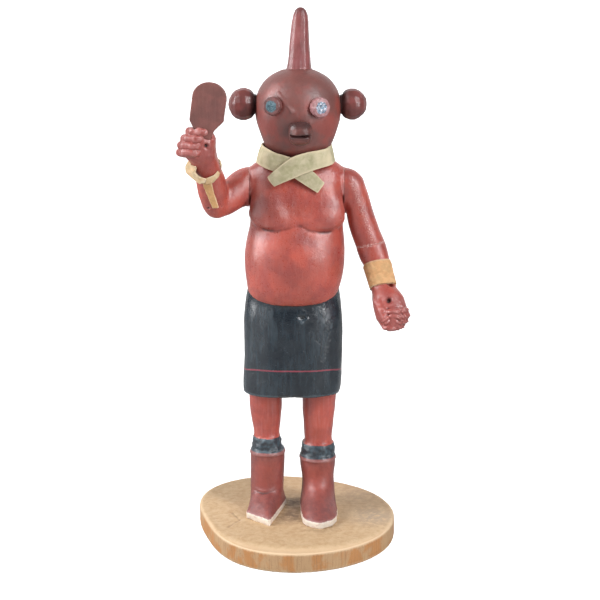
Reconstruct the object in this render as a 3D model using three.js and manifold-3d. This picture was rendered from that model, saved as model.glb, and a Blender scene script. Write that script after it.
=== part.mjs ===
// A carved and painted wooden kachina doll that stands on a slab of softwood. One carving holds head,
// trunk, kilt, legs and boots. Arms, horn, ears, eyes, snout and paddle are pieces of their own, and the
// neck sash, wrist band and wrist thong are leather. Millimetres, +Z up. The doll looks along -Y, and +X
// is on the viewer's right, which is the doll's left. The origin is the middle of the slab's underside.
import * as THREE from "three";
import { mergeVertices } from "three/addons/utils/BufferGeometryUtils.js";
import Module from "manifold-3d";

const wasm = await Module();
wasm.setup();

// Driving dimensions.
const DOLL_HEIGHT = 300;
const SLAB_THICK = 12;
const SLAB_RADIUS = 59.4;
const SLAB_EDGE = 0.9;
const GAP = 0.3;
const TRUNK_Y = 5;
const HEAD = { x: 0, y: 3, half: 23.6, widest: 246.7, crown: 266.6, jaw: 219.3 };
const HEM = 84.4;
const WAIST = 145.4;
const BELLY_DIP = 8;
const SHOULDER_RIGHT = -27.2;
const SHOULDER_LEFT = 25.6;
const LEG_Y = 7;
const SOLE_THICK = 3.6;
const EARS = {
  right: { out: 30.1, half: 8.3, radius: 9.2, stub: 5.6 },
  left: { out: 29.9, half: 7.9, radius: 8.9, stub: 5.4 },
  z: 247.8,
};
const EYES = { right: { x: -12.7, z: 248, radius: 5 }, left: { x: 10.9, z: 247.2, radius: 5.5 }, turn: 24 };
const SNOUT = { x: 1.3, z: 233.6, wide: 6.4, high: 6.4, reach: 11 };
const HORN = { base: 7, waist: 5.6, neck: 4.7, lean: 0.9 };
const SASH_THICK = 1.2;
const BAND_THICK = 1.1;
const LACE_THICK = 1.3;
const PADDLE_THICK = 3.2;
const SHORTEST_EDGE = 0.12;
const THINNEST_FACE = 0.02;

// Colours of paint, wood and leather.
const finish = (color, roughness) => new THREE.MeshStandardMaterial({ color, roughness, metalness: 0 });
const RED_PAINT = finish("#9c3d33", 0.4);
const MAROON_PAINT = finish("#6e332e", 0.5);
const EYE_PAINT = finish("#50606a", 0.5);
const BARE_WOOD = finish("#c49a68", 0.8);
const SUEDE = finish("#a89f7c", 0.95);
const YELLOW_LEATHER = finish("#d3a964", 0.8);

const at = (x, y, z) => new THREE.Vector3(x, y, z);
const degrees = THREE.MathUtils.degToRad;

// Stations between the given ones, on a smooth curve through them, with "steps" spans to each pair.
function smooth(keys, steps) {
  const mix = (a, b, c, d, t) => {
    if (Array.isArray(a)) return a.map((_, n) => mix(a[n], b[n], c[n], d[n], t));
    const bend = (2 * b - 2 * c + (c - a) / 2 + (d - b) / 2) * t ** 3;
    return bend + (3 * c - 3 * b - (c - a) - (d - b) / 2) * t ** 2 + ((c - a) / 2) * t + b;
  };
  const key = (i) => keys[Math.min(Math.max(i, 0), keys.length - 1)];
  const all = [];
  for (let i = 0; i < keys.length - 1; i++)
    for (let s = 0; s < steps; s++) {
      const near = [key(i - 1), key(i), key(i + 1), key(i + 2)];
      const fields = Object.keys(key(i));
      all.push(Object.fromEntries(fields.map((f) => [f, mix(...near.map((k) => k[f]), s / steps)])));
    }
  return [...all, keys.at(-1)];
}

// A point of a rounded outline: an ellipse, or squarer where "square" is over 2.
function roundPoint(turn, wide, front, back, square) {
  const c = Math.cos(turn);
  const s = Math.sin(turn);
  const bulge = (n) => Math.sign(n) * Math.abs(n) ** (2 / square);
  return [wide * bulge(c), (s < 0 ? front : back) * bulge(s), s];
}

// A level outline round a trunk, head or leg. "dip" lowers its front.
function levelRing({ z, x, y, wide, front, back, square = 2.3, dip = 0 }, sides, grow = 0) {
  return Array.from({ length: sides }, (_, i) => {
    const turn = (2 * Math.PI * i) / sides;
    const [across, ahead, s] = roundPoint(turn, wide + grow, front + grow, back + grow, square);
    return at(x + across, y + ahead, z - dip * Math.max(0, -s));
  });
}

// Outlines across a limb. Each station has its two edges, as a front view shows them, and half its depth.
function limbRings(stations, sides, grow = 0) {
  const middles = stations.map(({ a, b }) => at(...a).add(at(...b)).multiplyScalar(0.5));
  return stations.map(({ a, b, deep, square = 2.3 }, i) => {
    const last = stations.length - 1;
    const along = middles[Math.min(i + 1, last)].clone().sub(middles[Math.max(i - 1, 0)]);
    const across = at(...b).sub(at(...a)).multiplyScalar(0.5);
    const ahead = along.clone().cross(across).normalize();
    const wide = across.length() + grow;
    across.normalize();
    return Array.from({ length: sides }, (_, k) => {
      const [u, v] = roundPoint((2 * Math.PI * k) / sides, wide, deep + grow, deep + grow, square);
      return middles[i].clone().addScaledVector(across, u).addScaledVector(ahead, v);
    });
  });
}

// A closed skin over outlines that have the same number of points, with a fan over each end.
function skin(rings) {
  const sides = rings[0].length;
  const centre = (ring) => ring.reduce((sum, p) => sum.add(p), at(0, 0, 0)).divideScalar(sides);
  const points = [...rings.flat(), centre(rings[0]), centre(rings.at(-1))];
  const first = rings.length * sides;
  const faces = [];
  for (let i = 0; i < sides; i++) {
    const next = (i + 1) % sides;
    for (let r = 0; r < rings.length - 1; r++) {
      const low = r * sides;
      const high = low + sides;
      faces.push(low + i, low + next, high + next, low + i, high + next, high + i);
    }
    const top = (rings.length - 1) * sides;
    faces.push(first, next, i, first + 1, top + i, top + next);
  }
  return new THREE.BufferGeometry().setFromPoints(points).setIndex(faces);
}

// A three.js geometry as a solid that can be cut and joined, and back.
function solid(geometry) {
  const bare = geometry.clone();
  bare.deleteAttribute("normal");
  bare.deleteAttribute("uv");
  const merged = mergeVertices(bare, 1e-4);
  const vertProperties = new Float32Array(merged.attributes.position.array);
  const made = new wasm.Mesh({ numProp: 3, vertProperties, triVerts: new Uint32Array(merged.index.array) });
  return new wasm.Manifold(made);
}
function shape(made) {
  const mesh = made.getMesh();
  const raw = new THREE.BufferGeometry();
  raw.setAttribute("position", new THREE.BufferAttribute(new Float32Array(mesh.vertProperties), 3));
  raw.setIndex(new THREE.BufferAttribute(new Uint32Array(mesh.triVerts), 1));
  return withoutSlivers(mergeVertices(raw, 1e-3));
}

// Where two skins were joined or cut there are slivers. Short edges are drawn together, and a flat sliver
// is turned onto the face beside it.
function withoutSlivers(geometry) {
  const position = geometry.attributes.position;
  const points = Array.from({ length: position.count }, (_, i) => new THREE.Vector3().fromBufferAttribute(position, i));
  let faces = Array.from({ length: geometry.index.count / 3 }, (_, i) =>
    [0, 1, 2].map((n) => geometry.index.getX(3 * i + n)),
  );
  const long = (a, b) => points[a].distanceTo(points[b]);
  const area = ([a, b, c]) => points[b].clone().sub(points[a]).cross(points[c].clone().sub(points[a])).length() / 2;
  const edgesOf = ([a, b, c]) => [[a, b, c], [b, c, a], [c, a, b]];
  for (let round = 0; round < 400; round++) {
    const beside = new Map();
    const near = points.map(() => new Set());
    faces.forEach((face, i) => {
      for (const [a, b, c] of edgesOf(face)) {
        beside.set(a + " " + b, [i, c]);
        near[a].add(b);
        near[b].add(a);
      }
    });
    const touched = new Set();
    const free = (...corners) => corners.every((c) => !touched.has(c) && [...near[c]].every((n) => !touched.has(n)));
    const dropped = new Set();
    const merged = new Map();
    for (const face of faces) {
      const [a, b] = edgesOf(face).reduce((least, e) => (long(e[0], e[1]) < long(least[0], least[1]) ? e : least));
      const shared = [...near[a]].filter((n) => near[b].has(n)).length;
      if (long(a, b) < SHORTEST_EDGE && shared === 2 && free(a, b)) {
        merged.set(b, a);
        touched.add(a).add(b);
      }
    }
    faces.forEach((face, i) => {
      const [a, b, c] = edgesOf(face).reduce((most, e) => (long(e[0], e[1]) > long(most[0], most[1]) ? e : most));
      if ((2 * area(face)) / long(a, b) >= THINNEST_FACE || dropped.has(i)) return;
      const [j, d] = beside.get(b + " " + a);
      if (near[c].has(d) || !free(a, b, c, d) || dropped.has(j)) return;
      faces[i] = [a, d, c];
      faces[j] = [d, b, c];
      dropped.add(i).add(j);
      touched.add(a).add(b).add(c).add(d);
    });
    if (!touched.size) break;
    faces = faces.map((face) => face.map((v) => merged.get(v) ?? v));
    faces = faces.filter(([a, b, c]) => a !== b && b !== c && c !== a);
  }
  const kept = new THREE.BufferGeometry().setFromPoints(points).setIndex(faces.flat());
  const bare = mergeVertices(kept.toNonIndexed(), 1e-4);
  bare.computeVertexNormals();
  return bare;
}
const skinSolid = (rings) => solid(skin(rings));
// Pieces joined into one carving, which is solid wood: small hollows left between them are filled.
function join(pieces) {
  const whole = pieces.reduce((sum, piece) => sum.add(piece));
  return whole.decompose().reduce((most, body) => (body.volume() > most.volume() ? body : most));
}

// A block between two corners, used only to cut.
function block(low, high) {
  const size = high.clone().sub(low);
  const middle = low.clone().add(high).multiplyScalar(0.5);
  return solid(new THREE.BoxGeometry(size.x, size.y, size.z).translate(middle.x, middle.y, middle.z));
}

// Base slab: a cut of a branch, squarer on the far left, with its rim worn and its left front bevelled.
function slab() {
  const sides = 56;
  const reach = (turn) => {
    const wave = (size, times, start) => size * Math.cos(times * (turn - degrees(start)));
    return SLAB_RADIUS + wave(2.2, 1, 162.4) + wave(4, 2, -64.6) + wave(2.5, 3, 14) + wave(0.8, 4, -38.7);
  };
  const ring = (z, inset, bevel) =>
    Array.from({ length: sides }, (_, i) => {
      const turn = (2 * Math.PI * i) / sides;
      const near = Math.max(0, Math.cos(turn - degrees(232)));
      const r = reach(turn) - inset - bevel * near ** 2;
      return at(r * Math.cos(turn), r * Math.sin(turn), z);
    });
  const rim = [
    ring(0, 0.6, 0.4),
    ring(0.6, 0, 0.3),
    ring(SLAB_THICK - SLAB_EDGE, 0, 0),
    ring(SLAB_THICK - SLAB_EDGE * 0.3, SLAB_EDGE * 0.35, 0),
    ring(SLAB_THICK, SLAB_EDGE, 0.3),
  ];
  return skin(rim);
}

// Kilt, belly, chest and shoulders in one, up to a neck inside the head.
function trunk(grow) {
  const sides = 32;
  const y = TRUNK_Y;
  const kilt = [
    { z: HEM, x: -3.6, y, wide: 27.6, front: 18.4, back: 19.3, square: 2.5, dip: 0 },
    { z: HEM + 4, x: -3.4, y, wide: 28.2, front: 18.9, back: 19.8, square: 2.5, dip: 0 },
    { z: HEM + 20, x: -2.85, y, wide: 27.9, front: 18.6, back: 19.8, square: 2.5, dip: 0 },
    { z: HEM + 42, x: -2.8, y, wide: 27.9, front: 18, back: 19, square: 2.5, dip: 1.5 },
    { z: WAIST - 7, x: -2.85, y, wide: 27, front: 17.3, back: 17.8, square: 2.4, dip: BELLY_DIP - 3 },
    { z: WAIST, x: -2.8, y, wide: 25.6, front: 16.6, back: 16.6, square: 2.4, dip: BELLY_DIP },
  ];
  const upper = [
    { z: WAIST + 0.5, x: -2.7, y, wide: 25.9, front: 18.2, back: 16.6, square: 2.4, dip: BELLY_DIP },
    { z: WAIST + 4, x: -2.5, y, wide: 26.7, front: 20.6, back: 16.2, square: 2.3, dip: BELLY_DIP - 1 },
    { z: 156, x: -2, y, wide: 27.8, front: 22.8, back: 15.8, square: 2.3, dip: 4.5 },
    { z: 164, x: -2, y, wide: 28.1, front: 23.6, back: 15.6, square: 2.3, dip: 2 },
    { z: 172, x: -1.5, y, wide: 27.5, front: 22, back: 15.8, square: 2.3, dip: 0.5 },
    { z: 180, x: -0.9, y, wide: 26.2, front: 18.8, back: 16.6, square: 2.3, dip: 0 },
    { z: 188, x: -0.85, y, wide: 26, front: 17.6, back: 17.6, square: 2.4, dip: 0 },
    { z: 200, x: -0.9, y, wide: 27.6, front: 17, back: 18, square: 2.5, dip: 0 },
    { z: 209, x: -0.9, y, wide: 27.4, front: 14.8, back: 16.6, square: 2.5, dip: 0 },
    { z: 213.6, x: -1, y, wide: 25.4, front: 12.6, back: 14.6, square: 2.4, dip: 0 },
    { z: 217, x: -0.8, y, wide: 20.4, front: 11.2, back: 12.8, square: 2.3, dip: 0 },
    { z: 220.5, x: -0.4, y, wide: 14.6, front: 10.4, back: 11.4, square: 2.2, dip: 0 },
    { z: 228, x: 0, y, wide: 12.6, front: 10, back: 11, square: 2.1, dip: 0 },
  ];
  const stations = [...kilt, upper[0], ...smooth(upper.slice(1, 10), 2), ...upper.slice(10)];
  return skinSolid(stations.map((s) => levelRing(s, sides, grow)));
}

// Head: a ball, a little fuller at the jaw, cut flat where the horn stands.
function head(grow) {
  const dome = HEAD.crown + 1.1 - HEAD.widest;
  const section = (z, wide) => ({ z, x: HEAD.x, y: HEAD.y, wide, front: wide * 0.98, back: wide, square: 2.05 });
  const jaw = [
    section(HEAD.jaw - grow, 12),
    section(HEAD.jaw + 2.4, 16.4),
    section(226.4, 18.8),
    section(233.5, 21.4),
    section(240, 23.2),
    section(HEAD.widest, HEAD.half),
  ];
  const steps = 6;
  const crownTurn = Math.asin((HEAD.crown - HEAD.widest) / dome);
  const crown = Array.from({ length: steps }, (_, i) => {
    const rise = Math.sin((crownTurn * (i + 1)) / steps);
    return section(HEAD.widest + dome * rise, HEAD.half * (1 - rise ** 2.1) ** (1 / 2.1));
  });
  return skinSolid([...jaw, ...crown].map((s) => levelRing(s, 26, grow)));
}

// A breast: a shallow swelling, full at its fold below and thinning up into the chest.
function breast(x, z) {
  const swell = new THREE.SphereGeometry(1, 14, 10);
  const spots = swell.attributes.position;
  for (let i = 0; i < spots.count; i++) {
    const rise = spots.getZ(i);
    spots.setXYZ(i, spots.getX(i) * 14.2, spots.getY(i) * 7, rise * (rise > 0 ? 24 : 8.5));
  }
  return solid(swell.rotateX(degrees(-6)).translate(x, TRUNK_Y - 12.2, z));
}

// How far the edge of a many-cornered outline is from a point inside it, in one direction.
function edgeReach(corners, x, y, turn) {
  const [c, s] = [Math.cos(turn), Math.sin(turn)];
  const reaches = corners.map(([ax, ay], i) => {
    const [bx, by] = corners[(i + 1) % corners.length];
    const across = c * (by - ay) - s * (bx - ax);
    const part = ((ax - x) * s - (ay - y) * c) / across;
    const reach = ((ax - x) * (by - ay) - (ay - y) * (bx - ax)) / across;
    return reach > 0 && part > -1e-6 && part < 1 + 1e-6 ? reach : Infinity;
  });
  return Math.min(...reaches);
}

// A leg, in one skin from the sole up to the hem: sole and instep, boot shaft with a ledge at its rim,
// rolled sock and calf. "foot" is the share of the sole's outline at each height, down to 0 at the shaft.
function leg({ x, sole, instep, rim, sockTop, calf, ankle, sock, shaft, aside }) {
  const section = (z, wide, deep, foot = 0, shift = 0) => ({ z, wide, deep, foot, shift });
  const shoe = [
    section(SLAB_THICK, shaft.foot, 9.6, 1),
    section(SLAB_THICK + SOLE_THICK, shaft.foot, 9.6, 1),
    ...instep.map(([z, foot]) => section(z, shaft.foot, 10, foot)),
  ];
  const boot = [
    section(shaft.narrowAt, shaft.narrow, 9.9, 0, aside.boot),
    section(rim - 5, shaft.top - 0.2, 10.6, 0, aside.boot),
    section(rim, shaft.top, 11, 0, aside.boot),
    section(rim + 0.3, shaft.top - 1.5, 9.6, 0, aside.boot),
  ];
  const roll = [
    section(rim + 0.6, sock - 0.6, 8.7),
    section(rim + 2.4, sock + 0.1, 9.5),
    section(sockTop - 1.6, sock, 9.4),
    section(sockTop, sock - 0.7, 8.7),
  ];
  const calfUp = [
    section(sockTop + 0.3, ankle, 7.9),
    section(sockTop + 5, ankle + 0.5, 8.3),
    section(72, calf - 0.5, 9.4, 0, aside.calf * 0.8),
    section(80, calf, 9.9, 0, aside.calf),
    section(HEM + 3, calf + 0.2, 10, 0, aside.calf),
  ];
  const even = Array.from({ length: 12 }, (_, i) => (Math.PI * i) / 6);
  const corners = sole.map(([sx, sy]) => (Math.atan2(sy - LEG_Y, sx - x) + 2 * Math.PI) % (2 * Math.PI));
  const clear = even.filter((turn) => corners.every((corner) => Math.abs(corner - turn) > degrees(7)));
  const turns = [...clear, ...corners].sort((a, b) => a - b);
  const ring = ({ z, wide, deep, foot, shift }) =>
    turns.map((turn) => {
      const [c, s] = [Math.cos(turn), Math.sin(turn)];
      const round = (Math.abs(c / wide) ** 2.3 + Math.abs(s / deep) ** 2.3) ** (-1 / 2.3);
      const reach = round + foot * (edgeReach(sole, x, LEG_Y, turn) - round);
      return at(x + shift + c * reach, LEG_Y + s * reach, z);
    });
  return skinSolid([...shoe, ...boot, ...roll, ...calfUp].map(ring));
}

// Figure: the one carving. Its shoulders are flat where the arms meet them.
function figure() {
  const rightLeg = leg({
    x: -18.2, rim: 48.4, sockTop: 56.6, calf: 9.5, ankle: 7.2, sock: 7.9, aside: { boot: 0.4, calf: -0.6 },
    shaft: { top: 9.9, narrow: 9.7, narrowAt: 36, foot: 9.6 },
    sole: [[-16.3, -23.6], [-10.2, 0], [-7.2, 12.4], [-11, 18], [-17.4, 19.4], [-24.6, 17.4],
      [-28.2, 4], [-29.8, -11.4]],
    instep: [[20.4, 0.55], [24.4, 0.05], [26.4, 0]],
  });
  const leftLeg = leg({
    x: 11.6, rim: 44.8, sockTop: 52.4, calf: 9.8, ankle: 7.6, sock: 9.3, aside: { boot: -0.2, calf: 0.6 },
    shaft: { top: 10.4, narrow: 9.1, narrowAt: 33, foot: 9.1 },
    sole: [[19.2, -23.6], [22, -17], [22.6, -6], [21, 12], [17, 17.6], [11, 19.2], [4.6, 17.6], [1.4, 11],
      [1.8, -8], [3, -19.6], [4.8, -23.6], [8.4, -26.8], [13, -28.2]],
    instep: [[19.4, 0.74], [23.6, 0.36], [28, 0.08]],
  });
  const carving = join([
    trunk(0), head(0), breast(-13.2, 187.4), breast(12, 186), rightLeg, leftLeg,
  ]);
  const beyond = 20;
  const rightCut = block(at(SHOULDER_RIGHT - beyond, -30, 186), at(SHOULDER_RIGHT, 40, 216));
  const leftCut = block(at(SHOULDER_LEFT, -30, 186), at(SHOULDER_LEFT + beyond, 40, 216));
  return carving.subtract(rightCut).subtract(leftCut);
}

// Seats for what is set into the head and the shoulders, with room round them.
const bodyClearance = () => trunk(GAP).add(head(GAP));

// A finger, thumb or roll of hand: a rounded rod through a few points, with its own thickness at each.
function rod(points, sides = 7) {
  const stations = points.map(([x, y, z, r]) => ({ x, y, z, r }));
  const ringAt = (s, i) => {
    const before = stations[Math.max(i - 1, 0)];
    const after = stations[Math.min(i + 1, stations.length - 1)];
    const along = at(after.x - before.x, after.y - before.y, after.z - before.z).normalize();
    const across = at(0, 0, 1).cross(along).normalize();
    const up = along.clone().cross(across);
    return Array.from({ length: sides }, (_, k) => {
      const turn = (2 * Math.PI * k) / sides;
      const p = at(s.x, s.y, s.z).addScaledVector(across, s.r * Math.cos(turn));
      return p.addScaledVector(up, s.r * Math.sin(turn));
    });
  };
  return skinSolid(stations.map(ringAt));
}

// Four fingers round a grip, one above the other, from the knuckles at "outer" to the tips at "inner".
function fingers({ outer, inner, front, top, pitch, lean, thick }) {
  return [0, 1, 2, 3].map((i) => {
    const z = top - i * pitch;
    const out = outer + lean[i];
    const toward = Math.sign(inner - out);
    return rod([
      [out + toward * 2.4, front + 8, z, thick * 0.9],
      [out, front + 4.6, z, thick],
      [out + toward * 2.2, front + 1.6, z, thick],
      [out + toward * 6, front, z, thick],
      [inner + lean[i] - toward * 1.5, front + 0.4, z, thick * 0.95],
      [inner + lean[i], front + 1.2, z, thick * 0.6],
    ]);
  });
}

// Paddle: a flat board with a round top, straight sides and cut lower corners, lower end in the fist.
const PADDLE_AT = { x: -47.3, y: -27.2, z: 248.2, lean: 8 };
function paddle(grow) {
  const side = 9.1 + grow;
  const outline = new THREE.Shape();
  outline.moveTo(-3.2 - grow, -17 - grow);
  outline.lineTo(3.2 + grow, -17 - grow);
  outline.lineTo(4.6 + grow, -12.4);
  outline.lineTo(side, -6.6);
  outline.lineTo(side, 4.6);
  outline.absellipse(0, 4.6, side, 8.4 + grow, 0, Math.PI, false, 0);
  outline.lineTo(-side, -8.2);
  outline.lineTo(-6.6 - grow, -12);
  const depth = PADDLE_THICK + 2 * grow;
  const board = new THREE.ExtrudeGeometry(outline, { depth, curveSegments: 10, bevelEnabled: false });
  board.translate(0, 0, -depth / 2).rotateX(degrees(90));
  return solid(board.rotateY(degrees(PADDLE_AT.lean)).translate(PADDLE_AT.x, PADDLE_AT.y, PADDLE_AT.z));
}

// Right arm, raised: shoulder to elbow, elbow to wrist, and the fist round the paddle.
const RIGHT_FOREARM = [
  { a: [-48.6, -4.6, 186.9], b: [-42.4, -4.6, 186.2], deep: 3.6, square: 2 },
  { a: [-50.6, -5, 189.2], b: [-39.6, -5, 188], deep: 6.4, square: 2 },
  { a: [-52.6, -6.4, 193], b: [-38.2, -6.4, 194], deep: 7.9, square: 2.2 },
  { a: [-54.9, -9.4, 200.4], b: [-38.7, -9.4, 202.4], deep: 8, square: 2.3 },
  { a: [-55.6, -12, 206.4], b: [-40, -12, 208.6], deep: 7.5, square: 2.3 },
  { a: [-55.7, -14.3, 211], b: [-41.6, -14.3, 213], deep: 7, square: 2.3 },
  { a: [-56.4, -16, 214.2], b: [-42.6, -16, 216.2], deep: 6.8, square: 2.3 },
  { a: [-57.8, -18.4, 218.6], b: [-43.6, -18.4, 221], deep: 7, square: 2.4 },
];
function rightArmForm(grow) {
  const seam = SHOULDER_RIGHT - GAP;
  const upper = [
    { a: [seam + 2.5, 4, 213.8], b: [seam + 2.5, 4, 191.8], deep: 9, square: 2.3 },
    { a: [seam, 3.6, 213.4], b: [seam, 3.6, 191.6], deep: 9.1, square: 2.3 },
    { a: [-33, 1.4, 211.2], b: [-33.6, 1.4, 190.4], deep: 9.2, square: 2.3 },
    { a: [-38.6, -2.4, 206.6], b: [-39.6, -2.4, 187.2], deep: 8.6, square: 2.2 },
    { a: [-43.6, -4.6, 203], b: [-45.2, -4.6, 186.2], deep: 7.6, square: 2.1 },
    { a: [-47.8, -6, 200], b: [-49.4, -6, 189], deep: 5, square: 2 },
  ];
  const palm = [
    { a: [-56.4, -18, 217], b: [-43.8, -18, 219.4], deep: 6.6, square: 2.4 },
    { a: [-60.8, -20.6, 222.4], b: [-44.2, -20.6, 225], deep: 7.4, square: 2.5 },
    { a: [-60.4, -22, 229], b: [-44, -22, 231], deep: 7.6, square: 2.6 },
    { a: [-57, -23, 235.4], b: [-46, -23, 235.4], deep: 6.4, square: 2.5 },
    { a: [-54.4, -23, 237.4], b: [-48.4, -23, 236.8], deep: 3.6, square: 2.2 },
  ];
  const grip = { outer: -59.8, inner: -49.4, front: -29, top: 235, pitch: 3.7, thick: 2.2 + grow };
  const arm = join([
    skinSolid(limbRings(smooth(upper, 2), 16, grow)),
    skinSolid(limbRings(RIGHT_FOREARM, 16, grow)),
    skinSolid(limbRings(palm, 14, grow)),
    ...fingers({ ...grip, lean: [1.8, -0.9, -2.6, -3.1] }),
  ]);
  return arm.subtract(block(at(seam, -30, 160), at(seam + 30, 40, 216.5)));
}
const rightArm = () => rightArmForm(0).subtract(paddle(GAP));

// Left arm, hanging: the upper arm ends at the elbow, and the forearm with its fist meets it there, both
// cut to one slanting plane.
const ELBOW = { middle: at(41, 3, 169.6), down: at(0.21, -0.1, -0.97).normalize() };
const ELBOW_REACH = ELBOW.middle.dot(ELBOW.down);
const beforeElbow = (made) => made.trimByPlane(ELBOW.down.clone().negate().toArray(), GAP / 2 - ELBOW_REACH);
const afterElbow = (made) => made.trimByPlane(ELBOW.down.toArray(), GAP / 2 + ELBOW_REACH);
const LEFT_FOREARM = [
  { a: [31.8, 3.4, 171.4], b: [47.7, 3.4, 175], deep: 7.7, square: 2.2 },
  { a: [32.8, 3, 167.6], b: [48.9, 3, 171.2], deep: 7.7, square: 2.2 },
  { a: [35.2, 0.6, 161], b: [50.8, 0.6, 164], deep: 7.4, square: 2.2 },
  { a: [37.3, -0.8, 157.8], b: [51.2, -0.8, 160.6], deep: 6.4, square: 2.2 },
  { a: [39.2, -3.6, 152], b: [52.7, -3.6, 154.4], deep: 6.2, square: 2.2 },
  { a: [41, -6.6, 146.2], b: [54.2, -6.6, 148.2], deep: 6, square: 2.2 },
  { a: [41.8, -8.4, 142.6], b: [55.8, -8.4, 144.4], deep: 6.6, square: 2.2 },
];
function leftUpperArm() {
  const seam = SHOULDER_LEFT + GAP;
  const upper = [
    { a: [seam - 2.5, 4, 190], b: [seam - 2.5, 4, 213.8], deep: 9, square: 2.3 },
    { a: [seam, 4, 189.6], b: [seam, 4, 213.2], deep: 9, square: 2.3 },
    { a: [26.8, 4, 188.4], b: [32.2, 4, 211], deep: 9, square: 2.3 },
    { a: [27.4, 4, 186.6], b: [36, 4, 207.4], deep: 8.8, square: 2.3 },
    { a: [27.6, 4, 184.2], b: [38.8, 4, 198.8], deep: 8.4, square: 2.3 },
    { a: [28.8, 3.8, 179], b: [42.1, 3.8, 188.6], deep: 8, square: 2.2 },
    { a: [30.7, 3.4, 173.4], b: [45.4, 3.4, 178.8], deep: 7.8, square: 2.2 },
    { a: [32.7, 3.1, 168], b: [48.6, 3.1, 171.6], deep: 7.7, square: 2.2 },
    { a: [33.8, 2.8, 164], b: [49.6, 2.8, 167.6], deep: 7.7, square: 2.2 },
  ];
  const beyond = block(at(seam - 30, -30, 160), at(seam, 40, 220));
  return beforeElbow(skinSolid(limbRings(upper, 16)).subtract(beyond));
}
function leftForearm() {
  const hand = [
    { a: [41.6, -7.4, 144.6], b: [54.8, -7.4, 146.6], deep: 6, square: 2.2 },
    { a: [41.4, -10.4, 140.6], b: [58.4, -10.4, 142.6], deep: 7.4, square: 2.4 },
    { a: [42.4, -13.6, 135.4], b: [60.6, -13.6, 136.4], deep: 8.2, square: 2.5 },
    { a: [44, -15.8, 130], b: [61.4, -15.8, 130.4], deep: 7.8, square: 2.5 },
    { a: [46.8, -17, 125.8], b: [58.6, -17, 126.2], deep: 6, square: 2.3 },
    { a: [49.6, -17.4, 124.2], b: [55.4, -17.4, 124.4], deep: 3.4, square: 2.1 },
  ];
  const grip = { outer: 60.5, inner: 49.4, front: -23.6, top: 136.6, pitch: 2.95, thick: 1.8 };
  const thumb = rod([
    [44, -9, 143.4, 2.4],
    [44.4, -15, 140.4, 3],
    [46.4, -20.6, 136.4, 3],
    [48.2, -23, 132, 2.6],
    [49, -23.6, 129.4, 1.8],
  ]);
  const arm = join([
    skinSolid(limbRings(LEFT_FOREARM, 16)),
    skinSolid(limbRings(hand, 14)),
    thumb,
    ...fingers({ ...grip, lean: [-0.8, 0, -0.8, -2.8] }),
  ]);
  const hole = new THREE.CylinderGeometry(2.1, 1.7, 16, 12).translate(0, 8, 0);
  hole.rotateX(degrees(72)).rotateZ(degrees(-6)).translate(50.6, -13, 140.2);
  return afterElbow(arm).subtract(solid(hole));
}

// Horn: a whittled peg, widest at its foot, that leans a little and ends in a round tip.
function horn() {
  const foot = HEAD.crown;
  const rise = DOLL_HEIGHT - foot;
  const section = (part, half) => {
    const x = 0.5 + HORN.lean * part;
    return { z: foot + rise * part, x, y: HEAD.y, wide: half, front: half, back: half, square: 2.3 };
  };
  const stem = [section(0, HORN.base), section(0.14, 6.3), section(0.4, HORN.waist), section(0.76, HORN.neck)];
  const tip = [section(0.88, 4.1), section(0.955, 3), section(0.99, 1.6), section(1, 0.7)];
  return skin([...smooth(stem, 2), ...tip].map((s) => levelRing(s, 12)));
}

// Ear knob: a ball flattened along its stub, each whittled a little differently. "side" is -1 for the
// doll's right and 1 for its left.
function ear(side) {
  const { half, radius, stub, out } = side < 0 ? EARS.right : EARS.left;
  const root = 19;
  const shoulder = 0.72;
  const back = out - half * 0.67;
  const profile = [new THREE.Vector2(0, root), new THREE.Vector2(stub, root)];
  profile.push(new THREE.Vector2(stub, back - 0.3), new THREE.Vector2(radius * shoulder, back));
  for (let i = 3; i <= 9; i++) {
    const turn = degrees(20 * i);
    profile.push(new THREE.Vector2(i === 9 ? 0 : radius * Math.sin(turn), out - half * Math.cos(turn)));
  }
  const knob = new THREE.LatheGeometry(profile, 14, degrees(side * 5)).rotateZ(degrees(side * -90));
  return solid(knob.translate(0, HEAD.y, EARS.z)).subtract(head(GAP));
}

// Eye: a short rod set in the face, turned outward, with a slightly crowned end.
function eye(side) {
  const { x, z, radius } = side < 0 ? EYES.right : EYES.left;
  const profile = [[0, -4], [radius, -4], [radius, 3.4], [radius - 0.5, 4], [0, 4.3]];
  const rodEnd = new THREE.LatheGeometry(profile.map(([r, h]) => new THREE.Vector2(r, h)), 16);
  rodEnd.rotateX(degrees(180)).rotateZ(degrees(side * EYES.turn));
  return solid(rodEnd.translate(x, HEAD.y - 19.6, z)).subtract(head(GAP));
}

// Snout: a short muzzle, round in front, with the mouth sawn across it.
function snout() {
  const root = HEAD.y - 18;
  const section = (out, size) => {
    const y = root - out;
    const half = SNOUT.wide * size;
    return { y, half, high: SNOUT.high * size };
  };
  const sections = [section(0, 1), section(8, 0.98), section(SNOUT.reach, 0.9), section(13, 0.66), section(13.8, 0.35)];
  const rings = sections.map(({ y, half, high }) =>
    Array.from({ length: 16 }, (_, i) => {
      const [across, up] = roundPoint((2 * Math.PI * i) / 16, half, high, high, 2.9);
      return at(SNOUT.x + across, y, SNOUT.z + up);
    }),
  );
  const mouth = block(at(SNOUT.x - 9, root - 20, SNOUT.z - 1.6), at(SNOUT.x + 9, root - 9.5, SNOUT.z - 0.4));
  return skinSolid(rings).subtract(mouth).subtract(head(GAP));
}

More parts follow.
